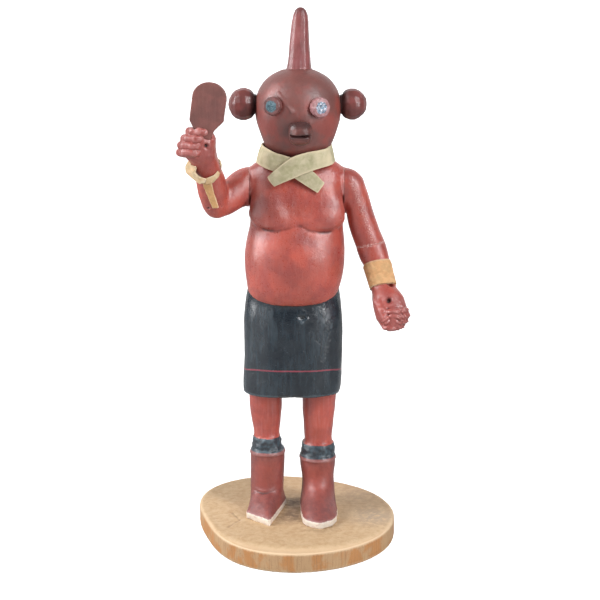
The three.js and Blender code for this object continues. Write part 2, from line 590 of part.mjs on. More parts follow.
// A flat strip of leather through stations, each with the two edges of the strip.
function strip(stations, thick) {
  const middles = stations.map(([low, high]) => at(...low).add(at(...high)).multiplyScalar(0.5));
  const rings = stations.map(([low, high], i) => {
    const along = middles[Math.min(i + 1, middles.length - 1)].clone().sub(middles[Math.max(i - 1, 0)]);
    const up = at(...high).sub(at(...low)).multiplyScalar(0.5);
    const out = along.cross(up).normalize();
    const corner = (a, b) => middles[i].clone().addScaledVector(up, a).addScaledVector(out, (b * thick) / 2);
    return [corner(-1, -1), corner(1, -1), corner(1, 1), corner(-1, 1)];
  });
  return skinSolid(rings);
}

// Neck sash: one strip from its end on the left chest, under itself and round the neck, then over itself
// and down to its end on the right chest.
function sash() {
  const under = [
    [[10.6, -12.8, 200.7], [14.3, -12.4, 206.1]],
    [[4.2, -13.2, 204.8], [8.1, -13.2, 212.5]],
    [[-2.3, -13.4, 209], [1.6, -13.6, 217.8]],
    [[-9, -13, 211.4], [-6.2, -13.4, 220.8]],
    [[-13.6, -11.8, 212.6], [-12.3, -12.2, 222.6]],
  ];
  const round = [
    [[-18.6, -8.6, 214.2], [-16.8, -8.2, 224.6]],
    [[-21.9, -1.4, 215.6], [-19, -1, 225.6]],
    [[-22.3, 8, 215.8], [-19.2, 8, 226]],
    [[-17, 20.2, 215.4], [-14.6, 17.8, 226]],
    [[0, 26.6, 215], [0, 23.2, 226.2]],
    [[17, 20.2, 215.4], [14.6, 17.8, 226]],
    [[19.9, 8, 215.8], [17.9, 8, 225.8]],
    [[19.3, -1.4, 216], [17, -1, 225.4]],
  ];
  const over = [
    [[17.6, -8.8, 215.4], [15.2, -9, 224.6]],
    [[11.6, -13.6, 214.2], [11, -13.8, 224]],
    [[4.6, -15.4, 212], [4.7, -15.2, 222.9]],
    [[-2.3, -15.6, 209], [-3.2, -15.6, 220.4]],
    [[-8.4, -14.8, 206.4], [-11.2, -14.8, 214.4]],
    [[-13, -13.2, 204.3], [-16.6, -12.6, 209.3]],
  ];
  return strip([...under, ...round, ...over], SASH_THICK).subtract(bodyClearance());
}

// A leather sleeve round part of a limb: a thicker limb with the limb itself, and a gap, taken out.
function sleeve(stations, first, last, thick, slack) {
  const outer = skinSolid(limbRings(stations.slice(first, last), 16, GAP + slack + thick));
  return outer.subtract(skinSolid(limbRings(stations.slice(first - 1, last + 1), 16, GAP + slack)));
}

// Wrist band: one wide wrap from below the elbow to the fist.
const wristBand = () => sleeve(LEFT_FOREARM, 3, 6, BAND_THICK, 0);

// Wrist thong: a loose lace round the raised wrist. One end is folded up outside it, and the other hangs
// down as a tail. Stations run along the lace, each with its lower and its upper edge.
function wristThong() {
  const ring = [
    [[-52.6, -22.6, 207.2], [-50.5, -23.2, 209.9]],
    [[-48.9, -23.4, 206.6], [-48.4, -23.2, 210.2]],
    [[-45.7, -22.4, 207.4], [-45.2, -22, 211.5]],
    [[-43.2, -20, 210], [-43.7, -19.8, 213.6]],
    [[-41.9, -16, 212.6], [-42.8, -16, 216.2]],
    [[-42, -11.6, 215.6], [-42.8, -11.6, 218.6]],
    [[-43.8, -8, 216.4], [-44, -8, 219.4]],
    [[-49.5, -6.4, 216], [-49.5, -6.4, 219.4]],
    [[-55.6, -8.4, 214.8], [-55.4, -8.8, 218.4]],
    [[-59, -13.2, 213.4], [-58.6, -13.6, 217.4]],
    [[-60, -17, 213.2], [-59.6, -17.4, 217]],
  ];
  const fold = [
    [[-53.6, -23.8, 222], [-52.6, -24.2, 222.8]],
    [[-58.9, -18.8, 218.8], [-53.4, -24, 220.5]],
    [[-60.8, -17.6, 215.7], [-54.3, -24.2, 216.6]],
    [[-60.3, -18, 212.4], [-55.1, -24.2, 213.2]],
    [[-56.5, -21, 209.4], [-53.8, -24.4, 211.4]],
    [[-52.7, -23.8, 206.8], [-51.6, -24.6, 210.5]],
    [[-49.5, -24.8, 207.8], [-49, -24.8, 209.8]],
  ];
  const tail = [
    [[-51.4, -23.4, 208.6], [-46.4, -23.4, 208.8]],
    [[-51, -21, 205.4], [-46.2, -21.4, 205.8]],
    [[-49.6, -18.9, 201.2], [-45.4, -19.2, 201.6]],
    [[-48, -17.1, 196.6], [-44.2, -17.3, 197]],
    [[-46.6, -15.4, 192.8], [-43.2, -15.4, 193]],
  ];
  const laces = [ring, fold, tail].map((stations) => strip(stations, LACE_THICK));
  return join(laces).subtract(rightArmForm(GAP));
}

const doll = new THREE.Group();
function add(name, geometry, material) {
  const mesh = new THREE.Mesh(geometry, material);
  mesh.name = name;
  doll.add(mesh);
}

add("base_slab", slab(), BARE_WOOD);
add("figure_body", shape(figure()), RED_PAINT);
add("right_arm", shape(rightArm()), RED_PAINT);
add("left_upper_arm", shape(leftUpperArm()), RED_PAINT);
add("left_forearm", shape(leftForearm()), RED_PAINT);
add("paddle", shape(paddle(0)), MAROON_PAINT);
add("horn", horn(), MAROON_PAINT);
add("right_ear_knob", shape(ear(-1)), MAROON_PAINT);
add("left_ear_knob", shape(ear(1)), MAROON_PAINT);
add("right_eye", shape(eye(-1)), EYE_PAINT);
add("left_eye", shape(eye(1)), EYE_PAINT);
add("snout", shape(snout()), MAROON_PAINT);
add("neck_sash", shape(sash()), SUEDE);
add("left_wrist_band", shape(wristBand()), YELLOW_LEATHER);
add("right_wrist_thong", shape(wristThong()), YELLOW_LEATHER);

export default doll;
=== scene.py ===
import math

import bpy
import numpy as np
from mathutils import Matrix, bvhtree, kdtree, noise


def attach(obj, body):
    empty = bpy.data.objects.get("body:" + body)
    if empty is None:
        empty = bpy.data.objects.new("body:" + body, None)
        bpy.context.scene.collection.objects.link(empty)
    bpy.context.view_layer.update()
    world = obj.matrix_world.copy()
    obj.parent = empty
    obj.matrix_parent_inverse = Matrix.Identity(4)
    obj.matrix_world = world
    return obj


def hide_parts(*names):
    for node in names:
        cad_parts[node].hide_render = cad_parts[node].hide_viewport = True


# A carved and painted kachina doll on a slab of softwood. The carved pieces are copies of the CAD solids,
# remeshed to small even faces, rounded, and then carved. Lengths in the tables below are millimetres.
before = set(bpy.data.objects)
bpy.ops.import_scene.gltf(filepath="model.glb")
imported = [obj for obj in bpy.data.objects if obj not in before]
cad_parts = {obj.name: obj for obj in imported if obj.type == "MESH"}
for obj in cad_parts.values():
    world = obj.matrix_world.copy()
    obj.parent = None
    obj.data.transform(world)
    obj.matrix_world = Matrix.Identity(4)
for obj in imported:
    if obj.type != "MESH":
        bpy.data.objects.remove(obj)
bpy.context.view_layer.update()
MM = 0.001
COARSE = 1.0

# Heights on the figure, and the places of its two legs, as in the solids.
HEM = 84.4
WAIST = 145.4
BELLY_DIP = 8
TRUNK_Y = 5
SLAB_TOP = 12
SOLE_TOP = 15.6
JAW = 219.6
RIM = {"right": 48.4, "left": 44.8}
SOCK_TOP = {"right": 56.6, "left": 52.4}
BETWEEN_LEGS = -3.4
SHOULDER_CUTS = (-27.2, 25.6)


# Mesh helpers.
def select_only(piece):
    bpy.ops.object.select_all(action="DESELECT")
    piece.select_set(True)
    bpy.context.view_layer.objects.active = piece


def apply_modifiers(piece):
    select_only(piece)
    for name in [modifier.name for modifier in piece.modifiers]:
        bpy.ops.object.modifier_apply(modifier=name)


def places(piece):
    """Where the mesh's vertices are, in millimetres."""
    flat = np.empty(len(piece.data.vertices) * 3)
    piece.data.vertices.foreach_get("co", flat)
    return flat.reshape(-1, 3) / MM


def facings(piece):
    """The surface's direction at each vertex."""
    flat = np.empty(len(piece.data.vertices) * 3)
    piece.data.vertices.foreach_get("normal", flat)
    return flat.reshape(-1, 3)


def move_to(piece, spots):
    piece.data.vertices.foreach_set("co", (spots * MM).ravel())
    piece.data.update()


def remesh(piece, voxel):
    """Gives a closed mesh small even faces, about voxel millimetres wide."""
    even = piece.modifiers.new("Even faces", "REMESH")
    even.mode = "VOXEL"
    even.voxel_size = voxel * COARSE * MM
    apply_modifiers(piece)


def solid_copy(node, name, voxel):
    """A remeshed copy of a CAD solid."""
    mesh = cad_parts[node].data.copy()
    mesh.materials.clear()
    piece = bpy.data.objects.new(name, mesh)
    bpy.context.scene.collection.objects.link(piece)
    select_only(piece)
    bpy.ops.object.mode_set(mode="EDIT")
    bpy.ops.mesh.select_all(action="SELECT")
    bpy.ops.mesh.remove_doubles(threshold=0.005 * MM)
    bpy.ops.object.mode_set(mode="OBJECT")
    remesh(piece, voxel)
    return piece


def even_copy(node, name, voxel):
    """A copy of a CAD solid in small even faces, which stands for that solid."""
    piece = solid_copy(node, name, voxel)
    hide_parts(node)
    return piece


def blurred(piece, values, rounds, freedom=1.0):
    """Values at the vertices, evened out with their neighbours'. Freedom 0 keeps a value as it is."""
    ends = np.empty(len(piece.data.edges) * 2, int)
    piece.data.edges.foreach_get("vertices", ends)
    first, second = ends[::2], ends[1::2]
    count = np.bincount(ends, minlength=len(values))[:, None]
    share = 0.6 * np.broadcast_to(np.asarray(freedom, float), len(values))[:, None]
    values = values.copy()
    for _ in range(max(1, round(rounds / COARSE**2))):
        around = [
            np.bincount(first, values[second, axis], len(values))
            + np.bincount(second, values[first, axis], len(values))
            for axis in range(values.shape[1])
        ]
        values += share * (np.stack(around, 1) / count - values)
    return values


def soften(piece, rounds, freedom=1.0):
    """Rounds the facets off and leaves the larger form where it is."""
    spots = places(piece)
    shift = blurred(piece, spots, rounds, freedom) - spots
    move_to(piece, spots + shift - blurred(piece, shift, rounds, freedom))


def carve(piece, relief):
    """Moves the surface outwards by relief(x, y, z), in millimetres."""
    spots = places(piece)
    move_to(piece, spots + facings(piece) * relief(*spots.T)[:, None])


def ramp(value, low, high):
    """0 at low, 1 at high, and smooth between."""
    part = np.clip((value - low) / (high - low), 0, 1)
    return part * part * (3 - 2 * part)


def near(value, reach):
    """1 where value is 0, fading to 0 at reach on both sides."""
    return 1 - ramp(np.abs(value), 0, reach)


def lumps(x, y, z, size, seed=0):
    """Soft random swellings of about that size, from -1 to 1."""
    spots = np.stack([x, y, z], 1) / size + 17.3 * seed
    return np.array([noise.noise(spot) for spot in spots.tolist()])


def knife_marks(x, y, z, size, tall, depth, seed):
    """Shallow scallops with ridges between, as a knife leaves. They are "tall" times as high as wide."""
    spots = np.stack([x, y, z / tall], 1) / size
    low = spots.min(0) - 1
    high = spots.max(0) + 1
    random = np.random.default_rng(seed)
    starts = np.stack(np.meshgrid(*[np.arange(a, b) for a, b in zip(low, high)], indexing="ij"), -1)
    starts = starts.reshape(-1, 3) + random.uniform(-0.5, 0.5, (starts.size // 3, 3))
    tree = kdtree.KDTree(len(starts))
    for index, start in enumerate(starts):
        tree.insert(start, index)
    tree.balance()
    away = np.array([tree.find(spot)[2] for spot in spots.tolist()])
    return depth * (np.clip(away, 0, 1.1) ** 2 - 0.3)


def welded_form(nodes, voxel, rounds):
    """One smooth body made of several solids: a search tree of its surface, in millimetres."""
    grown = 0.3
    copies = [solid_copy(node, node + "_copy", voxel) for node in nodes]
    for copy in copies:
        move_to(copy, places(copy) + grown * facings(copy))
    select_only(copies[0])
    for copy in copies:
        copy.select_set(True)
    bpy.ops.object.join()
    whole = bpy.context.object
    remesh(whole, voxel)
    soften(whole, rounds)
    move_to(whole, places(whole) - grown * facings(whole))
    faces = [tuple(face.vertices) for face in whole.data.polygons]
    tree = bvhtree.BVHTree.FromPolygons(places(whole).tolist(), faces)
    bpy.data.objects.remove(whole)
    return tree


def weld(piece, form, share):
    """Moves the surface on to the welded form, as far as share says, from 0 to 1 at each vertex."""
    spots = places(piece)
    for index in np.flatnonzero(share > 0.01):
        found = form.find_nearest(spots[index])[0]
        spots[index] += share[index] * (np.array(found) - spots[index])
    move_to(piece, spots)


def record_field(piece, name, values):
    """Keeps one number at each vertex, for the materials."""
    kept = piece.data.attributes.new(name, "FLOAT", "POINT")
    kept.data.foreach_set("value", np.asarray(values, np.float32))


def record_edges(piece):
    """How far each place stands out from its surroundings: the materials lighten places above 0 and darken
    places below 0.
    """
    spots = places(piece)
    level = ((spots - blurred(piece, spots, 10)) * facings(piece)).sum(1)
    record_field(piece, "edges", blurred(piece, level[:, None], 2)[:, 0])


def finish_piece(piece, material):
    """Gives a piece its material, smooth shading and body."""
    piece.data.materials.clear()
    piece.data.materials.append(material)
    select_only(piece)
    bpy.ops.object.shade_smooth()
    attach(piece, "root")
    return piece


# Shader helpers.
def add_node(tree, kind, inputs=None, **settings):
    made = tree.nodes.new(kind)
    for name, value in settings.items():
        setattr(made, name, value)
    for name, value in (inputs or {}).items():
        if isinstance(value, bpy.types.NodeSocket):
            tree.links.new(value, made.inputs[name])
        else:
            made.inputs[name].default_value = value
    return made


def calc(tree, operation, first, second=0.0, third=0.0):
    return add_node(tree, "ShaderNodeMath", {0: first, 1: second, 2: third}, operation=operation).outputs[0]


def rise(tree, value, low, high):
    """A mask that goes from 0 at low to 1 at high."""
    inputs = {"Value": value, "From Min": low, "From Max": high}
    return add_node(tree, "ShaderNodeMapRange", inputs, interpolation_type="SMOOTHSTEP").outputs[0]


def mix(tree, mask, under, over, mode="MIX"):
    """A colour that goes from under to over as the mask goes from 0 to 1."""
    return add_node(
        tree, "ShaderNodeMix", {0: mask, 6: under, 7: over}, data_type="RGBA", blend_type=mode
    ).outputs[2]


def level(tree, mask, under, over):
    """A number that goes from under to over as the mask goes from 0 to 1."""
    return add_node(tree, "ShaderNodeMix", {0: mask, 2: under, 3: over}, data_type="FLOAT").outputs[0]


def object_mm(tree, stretch=(1, 1, 1)):
    """Object coordinates in millimetres."""
    place = add_node(tree, "ShaderNodeTexCoord").outputs["Object"]
    scale = tuple(1000 * part for part in stretch)
    return add_node(tree, "ShaderNodeMapping", {"Vector": place, "Scale": scale}).outputs[0]


def cloud(tree, place, size, detail=3.0, rough=0.55, warp=0.0):
    """Noise whose patches are about "size" millimetres wide, from 0 to 1."""
    inputs = {"Vector": place, "Scale": 1 / size, "Detail": detail, "Roughness": rough, "Distortion": warp}
    return add_node(tree, "ShaderNodeTexNoise", inputs).outputs[0]


def field(tree, name):
    return add_node(tree, "ShaderNodeAttribute", attribute_name=name).outputs["Fac"]


def colour(red, green, blue):
    return (red, green, blue, 1.0)


def new_group(name, inputs, outputs):
    group = bpy.data.node_groups.new(name, "ShaderNodeTree")
    for label, kind, value in inputs:
        group.interface.new_socket(label, in_out="INPUT", socket_type=kind).default_value = value
    for label, kind in outputs:
        group.interface.new_socket(label, in_out="OUTPUT", socket_type=kind)
    entry = group.nodes.new("NodeGroupInput").outputs
    way_out = group.nodes.new("NodeGroupOutput").inputs
    return group, entry, way_out


def new_material(name):
    material = bpy.data.materials.new(name)
    material.use_nodes = True
    tree = material.node_tree
    return material, tree, tree.nodes["Principled BSDF"]


def surface(tree, shader, paint, roughness, height, depth, specular=0.5):
    """Links colour, roughness and a bump whose full height is "depth" millimetres."""
    tree.links.new(paint, shader.inputs["Base Color"])
    tree.links.new(roughness, shader.inputs["Roughness"])
    bump = add_node(tree, "ShaderNodeBump", {"Height": height, "Strength": 1.0, "Distance": depth * MM})
    tree.links.new(bump.outputs[0], shader.inputs["Normal"])
    shader.inputs["Specular IOR Level"].default_value = specular


# Old hand-brushed paint: uneven colour, streaks down the wood, a fine crackle, lighter edges that are partly
# rubbed paint and partly a painted highlight, small pale specks and darker hollows. Streaks, Crackle and
# Specks say how much of each there is.
def brushed_paint_group():
    inputs = [
        ("Paint", "NodeSocketColor", colour(0.5, 0.5, 0.5)),
        ("Worn and lit", "NodeSocketColor", colour(0.7, 0.45, 0.4)),
        ("Gloss", "NodeSocketFloat", 0.4),
        ("Streaks", "NodeSocketFloat", 0.3),
        ("Crackle", "NodeSocketFloat", 0.5),
        ("Specks", "NodeSocketFloat", 0.5),
    ]
    outputs = [("Color", "NodeSocketColor"), ("Roughness", "NodeSocketFloat"), ("Height", "NodeSocketFloat")]
    tree, entry, way_out = new_group("brushed_paint", inputs, outputs)
    place = object_mm(tree)
    broad = cloud(tree, place, 13, 4)
    streak = cloud(tree, object_mm(tree, (1, 1, 0.08)), 1.2, 4, 0.6, 0.5)
    grit = cloud(tree, place, 0.55, 3, 0.65)
    wrinkle = cloud(tree, place, 1.3, 4, 0.6, 1.2)
    wear = cloud(tree, place, 1.8, 4, 0.7)
    edges = calc(tree, "MULTIPLY_ADD", wear, 0.12, calc(tree, "SUBTRACT", field(tree, "edges"), 0.06))
    patchy = mix(tree, rise(tree, broad, 0.3, 0.7), colour(0.84, 0.84, 0.86), colour(1.12, 1.08, 1.06))
    tone = mix(tree, 1.0, entry["Paint"], patchy, "MULTIPLY")
    thin = calc(tree, "MULTIPLY", rise(tree, streak, 0.42, 0.72), entry["Streaks"])
    lined = mix(tree, thin, tone, entry["Worn and lit"])
    pits = calc(tree, "MULTIPLY", rise(tree, grit, 0.42, 0.25), 0.25)
    dusty = mix(tree, pits, lined, colour(0.5, 0.45, 0.44), "MULTIPLY")
    dots = rise(tree, cloud(tree, place, 0.5, 2, 0.5), 0.66, 0.74)
    dots = calc(tree, "MULTIPLY", calc(tree, "MULTIPLY", dots, rise(tree, wear, 0.4, 0.6)), entry["Specks"])
    dotted = mix(tree, dots, dusty, entry["Worn and lit"])
    # Darker in the hollows, where the field edges is below 0.
    hollows_darkened = mix(tree, rise(tree, edges, -0.05, -0.22), dotted, colour(0.36, 0.27, 0.26), "MULTIPLY")
    # Lighter along the edges: partly rubbed paint, partly a painted highlight.
    worn_and_lit = mix(tree, calc(tree, "MULTIPLY", rise(tree, edges, 0.1, 0.26), 0.5), hollows_darkened, entry["Worn and lit"])
    tree.links.new(worn_and_lit, way_out["Color"])
    rough = calc(tree, "MULTIPLY_ADD", wrinkle, 0.3, -0.15)
    tree.links.new(calc(tree, "ADD", rough, entry["Gloss"]), way_out["Roughness"])
    skin = calc(tree, "MULTIPLY_ADD", wrinkle, entry["Crackle"], calc(tree, "MULTIPLY", grit, 0.3))
    tree.links.new(calc(tree, "MULTIPLY_ADD", streak, entry["Streaks"], skin), way_out["Height"])
    return tree


brushed_paint = brushed_paint_group()


def brushed(tree, paint, worn_and_lit, gloss, streaks, crackle, specks):
    inputs = {
        "Paint": paint,
        "Worn and lit": worn_and_lit,
        "Gloss": gloss,
        "Streaks": streaks,
        "Crackle": crackle,
        "Specks": specks,
    }
    return add_node(tree, "ShaderNodeGroup", inputs, node_tree=brushed_paint).outputs


BRICK_RED = colour(0.44, 0.08, 0.054)
DEEP_RED = colour(0.35, 0.062, 0.048)
MASK_BROWN = colour(0.17, 0.055, 0.046)
MASK_RED = colour(0.25, 0.05, 0.038)
# Colours for the lighter edges, streaks and specks. On the edges they are partly rubbed paint, partly a
# painted highlight.
WORN_AND_LIT_RED = colour(0.62, 0.33, 0.31)
WORN_AND_LIT_BROWN = colour(0.4, 0.2, 0.19)
WORN_AND_LIT_BLUE = colour(0.12, 0.16, 0.19)


def red_skin(tree, place):
    return mix(tree, rise(tree, cloud(tree, place, 9, 3), 0.4, 0.66), BRICK_RED, DEEP_RED)


def mask_brown(tree, place):
    """Brown, redder on the cheeks, and darkened beside the muzzle by a painted shadow of it."""
    tone = calc(tree, "ADD", cloud(tree, place, 10, 3), calc(tree, "MULTIPLY", field(tree, "cheek"), 0.3))
    brown = mix(tree, rise(tree, tone, 0.46, 0.74), MASK_BROWN, MASK_RED)
    return mix(tree, calc(tree, "MULTIPLY", field(tree, "dark_paint_and_shade"), 0.8), brown, colour(0.06, 0.024, 0.022))


def make_figure_paint():
    """Red body, brown mask, black kilt with one red line, dark sock rolls, brown boots and white soles."""
    material, tree, shader = new_material("figure_paint")
    place = object_mm(tree)
    ragged = calc(tree, "SUBTRACT", cloud(tree, place, 1.5, 4, 0.65), 0.5)

    def over(name, wander):
        edge = calc(tree, "MULTIPLY_ADD", ragged, wander, field(tree, name))
        return rise(tree, edge, -0.14, 0.14)

    dingy = rise(tree, cloud(tree, place, 2.2, 4), 0.46, 0.66)
    sole = mix(tree, dingy, colour(0.68, 0.6, 0.5), colour(0.54, 0.38, 0.33))
    mottle = rise(tree, cloud(tree, place, 2.6, 5, 0.7), 0.42, 0.62)
    boot = mix(tree, mottle, colour(0.2, 0.052, 0.046), colour(0.26, 0.066, 0.053))
    boot = mix(tree, calc(tree, "MULTIPLY", field(tree, "shaft"), 0.55), boot, colour(0.35, 0.058, 0.038))
    faded = rise(tree, cloud(tree, place, 2.4, 4), 0.4, 0.66)
    sock = mix(tree, faded, colour(0.018, 0.022, 0.03), colour(0.04, 0.07, 0.09))
    brush = cloud(tree, object_mm(tree, (1, 1, 0.3)), 5, 5, 0.65, 0.6)
    kilt = mix(tree, rise(tree, brush, 0.36, 0.7), colour(0.006, 0.01, 0.016), colour(0.022, 0.034, 0.044))
    line = calc(tree, "ABSOLUTE", calc(tree, "MULTIPLY_ADD", ragged, 0.5, field(tree, "over_line")))
    line = calc(tree, "MULTIPLY", rise(tree, line, 0.52, 0.3), 0.8)
    kilt = mix(tree, line, kilt, colour(0.3, 0.05, 0.07))
    # A dark patch on the chest's side under the raised arm: a painted shadow of that arm, partly dirt.
    dark_patch = calc(tree, "MULTIPLY", field(tree, "dark_patch"), 0.5)
    skin = mix(tree, dark_patch, red_skin(tree, place), colour(0.07, 0.026, 0.024))
    # From the feet up: the edge above which a coat lies and how far it wanders, then its paint, gloss,
    # streaks, crackle, specks and the colour of its lighter edges, partly rubbed paint and partly a painted
    # highlight.
    layers = (
        ("over_sole", 0.7, boot, 0.46, 0.08, 0.7, 0.5, WORN_AND_LIT_BROWN),
        ("over_rim", 0.6, sock, 0.42, 0.0, 0.6, 0.3, WORN_AND_LIT_BLUE),
        ("over_sock", 0.8, skin, 0.36, 0.16, 0.7, 0.6, WORN_AND_LIT_RED),
        ("over_hem", 0.8, kilt, 0.22, 0.1, 0.8, 0.5, WORN_AND_LIT_BLUE),
        ("over_waist", 0.3, skin, 0.31, 0.1, 1.0, 0.6, WORN_AND_LIT_RED),
        ("over_jaw", 0.4, mask_brown(tree, place), 0.45, 0.06, 0.7, 0.4, WORN_AND_LIT_BROWN),
    )
    paint = sole
    worn_and_lit = colour(0.9, 0.84, 0.74)
    amounts = [0.6, 0.0, 0.5, 0.1]
    for name, wander, paint_over, *amounts_over, worn_and_lit_over in layers:
        mask = over(name, wander)
        paint = mix(tree, mask, paint, paint_over)
        worn_and_lit = mix(tree, mask, worn_and_lit, worn_and_lit_over)
        amounts = [level(tree, mask, *pair) for pair in zip(amounts, amounts_over)]
    coat = brushed(tree, paint, mix(tree, 0.7, paint, worn_and_lit), *amounts)
    surface(tree, shader, coat["Color"], coat["Roughness"], coat["Height"], 0.2, 0.8)
    return material


def make_arm_paint():
    """Red skin, a little browner on the hands, with pale flecks of filler at the joins, a painted highlight
    of pale flecks down the hanging upper arm, and painted shade, near black, in the holes and the slit.
    """
    material, tree, shader = new_material("arm_paint")
    place = object_mm(tree)
    hand = rise(tree, field(tree, "hand"), -3, 3)
    paint = mix(tree, hand, red_skin(tree, place), colour(0.34, 0.075, 0.062))
    fleck = rise(tree, cloud(tree, place, 0.7, 3, 0.6), 0.5, 0.6)
    # Pale flecks: filler at the joins, and a painted highlight streak on the hanging upper arm.
    paint = mix(tree, calc(tree, "MULTIPLY", field(tree, "filler_and_highlight"), fleck), paint, colour(0.72, 0.47, 0.42))
    # Near black in the holes and the slit: painted shade in them.
    paint = mix(tree, field(tree, "pit_shade"), paint, colour(0.03, 0.014, 0.012))
    coat = brushed(tree, paint, mix(tree, 0.7, paint, WORN_AND_LIT_RED), 0.32, 0.14, 1.0, 0.9)
    surface(tree, shader, coat["Color"], coat["Roughness"], coat["Height"], 0.2, 0.8)
    return material


def make_mask_paint(name, under, over, gloss, streaks):
    """Satin brown paint of what stands on the mask, darkened where a field says so: partly dark paint,
    partly painted shade.
    """
    material, tree, shader = new_material(name)
    place = object_mm(tree)
    paint = mix(tree, rise(tree, cloud(tree, place, 6, 4), 0.4, 0.66), under, over)
    paint = mix(tree, calc(tree, "MULTIPLY", field(tree, "dark_paint_and_shade"), 0.85), paint, colour(0.035, 0.017, 0.017))
    coat = brushed(tree, paint, mix(tree, 0.7, paint, WORN_AND_LIT_BROWN), gloss, streaks, 0.4, 0.5)
    surface(tree, shader, coat["Color"], coat["Roughness"], coat["Height"], 0.16)
    return material


def make_eye_paint(name, peg_under, peg_over, dark, blue, pale, white):
    """A peg whose flat end is dabbed with four colours. White says how much of the palest there is."""
    material, tree, shader = new_material(name)
    place = object_mm(tree)
    peg = mix(tree, rise(tree, cloud(tree, place, 2, 4), 0.4, 0.6), peg_under, peg_over)
    dabs = cloud(tree, place, 0.85, 3, 0.7, 1.0)
    base = mix(tree, rise(tree, cloud(tree, place, 1.1, 3), 0.42, 0.58), dark, blue)
    dabbed = mix(tree, rise(tree, dabs, 0.48, 0.6), base, pale)
    palest = calc(tree, "MULTIPLY", rise(tree, dabs, 0.56, 0.64), white)
    dabbed = mix(tree, palest, dabbed, colour(0.8, 0.8, 0.85))
    ragged = calc(tree, "MULTIPLY_ADD", cloud(tree, place, 1.2, 3), 1.6, field(tree, "disc"))
    paint = mix(tree, rise(tree, ragged, 0.6, 1.1), peg, dabbed)
    coat = brushed(tree, paint, mix(tree, 0.5, paint, WORN_AND_LIT_RED), 0.36, 0.0, 0.5, 0.4)
    surface(tree, shader, coat["Color"], coat["Roughness"], coat["Height"], 0.12)
    return material


def make_slab_wood():
    """End grain with faint rings and stains on top, and upright grain with amber patches round the side."""
    material, tree, shader = new_material("slab_wood")
    place = object_mm(tree)
    side = field(tree, "side")
    mottle = cloud(tree, place, 3.2, 5, 0.65, 0.4)
    pores = cloud(tree, place, 0.8, 3, 0.6)
    upright = cloud(tree, object_mm(tree, (1, 1, 0.05)), 0.9, 4, 0.6)
    ring_inputs = {
        "Vector": object_mm(tree, (1, 1, 0)),
        "Scale": 0.045,
        "Distortion": 5.0,
        "Detail": 3.0,
        "Detail Scale": 1.2,
    }
    rings = add_node(tree, "ShaderNodeTexWave", ring_inputs, wave_type="RINGS", rings_direction="Z")
    ring = rings.outputs["Fac"]
    top = mix(tree, rise(tree, mottle, 0.35, 0.68), colour(0.57, 0.4, 0.235), colour(0.48, 0.31, 0.165))
    top = mix(tree, calc(tree, "MULTIPLY", ring, 0.2), top, colour(0.5, 0.31, 0.16))
    amber = rise(tree, cloud(tree, object_mm(tree, (1, 1, 0.55)), 13, 4, 0.6, 0.3), 0.46, 0.56)
    flank = mix(tree, amber, colour(0.5, 0.31, 0.165), colour(0.5, 0.235, 0.09))
    grain = calc(tree, "MULTIPLY", rise(tree, upright, 0.5, 0.66), 0.5)
    flank = mix(tree, grain, flank, colour(0.36, 0.19, 0.09))
    wood = mix(tree, side, top, flank)
    open_pores = calc(tree, "MULTIPLY", rise(tree, pores, 0.42, 0.26), 0.55)
    wood = mix(tree, open_pores, wood, colour(0.22, 0.13, 0.07))
    blotch = calc(tree, "MULTIPLY", field(tree, "stain"), rise(tree, mottle, 0.34, 0.56))
    wood = mix(tree, calc(tree, "MULTIPLY", blotch, 0.7), wood, colour(0.33, 0.26, 0.2))
    wood = mix(tree, calc(tree, "MULTIPLY", field(tree, "rear"), 0.4), wood, colour(0.42, 0.25, 0.14))
    # Darker round the feet and in the split.
    dark_patch = calc(tree, "MULTIPLY", field(tree, "darker_round_feet_and_split"), rise(tree, mottle, 0.2, 0.7))
    wood = mix(tree, dark_patch, wood, colour(0.2, 0.13, 0.08))
    edges = field(tree, "edges")
    worn = calc(tree, "MULTIPLY", calc(tree, "ADD", rise(tree, edges, 0.08, 0.3), field(tree, "rim")), 0.6)
    wood = mix(tree, worn, wood, colour(0.76, 0.55, 0.35))
    wood = mix(tree, rise(tree, edges, -0.08, -0.2), wood, colour(0.18, 0.11, 0.07))
    rough = calc(tree, "MULTIPLY_ADD", mottle, 0.25, 0.5)
    fibres = calc(tree, "ADD", cloud(tree, place, 1.3, 4, 0.7), pores)
    fibres = calc(tree, "MULTIPLY", fibres, 0.5)
    surface(tree, shader, wood, rough, level(tree, side, fibres, upright), 0.13, 0.3)
    return material


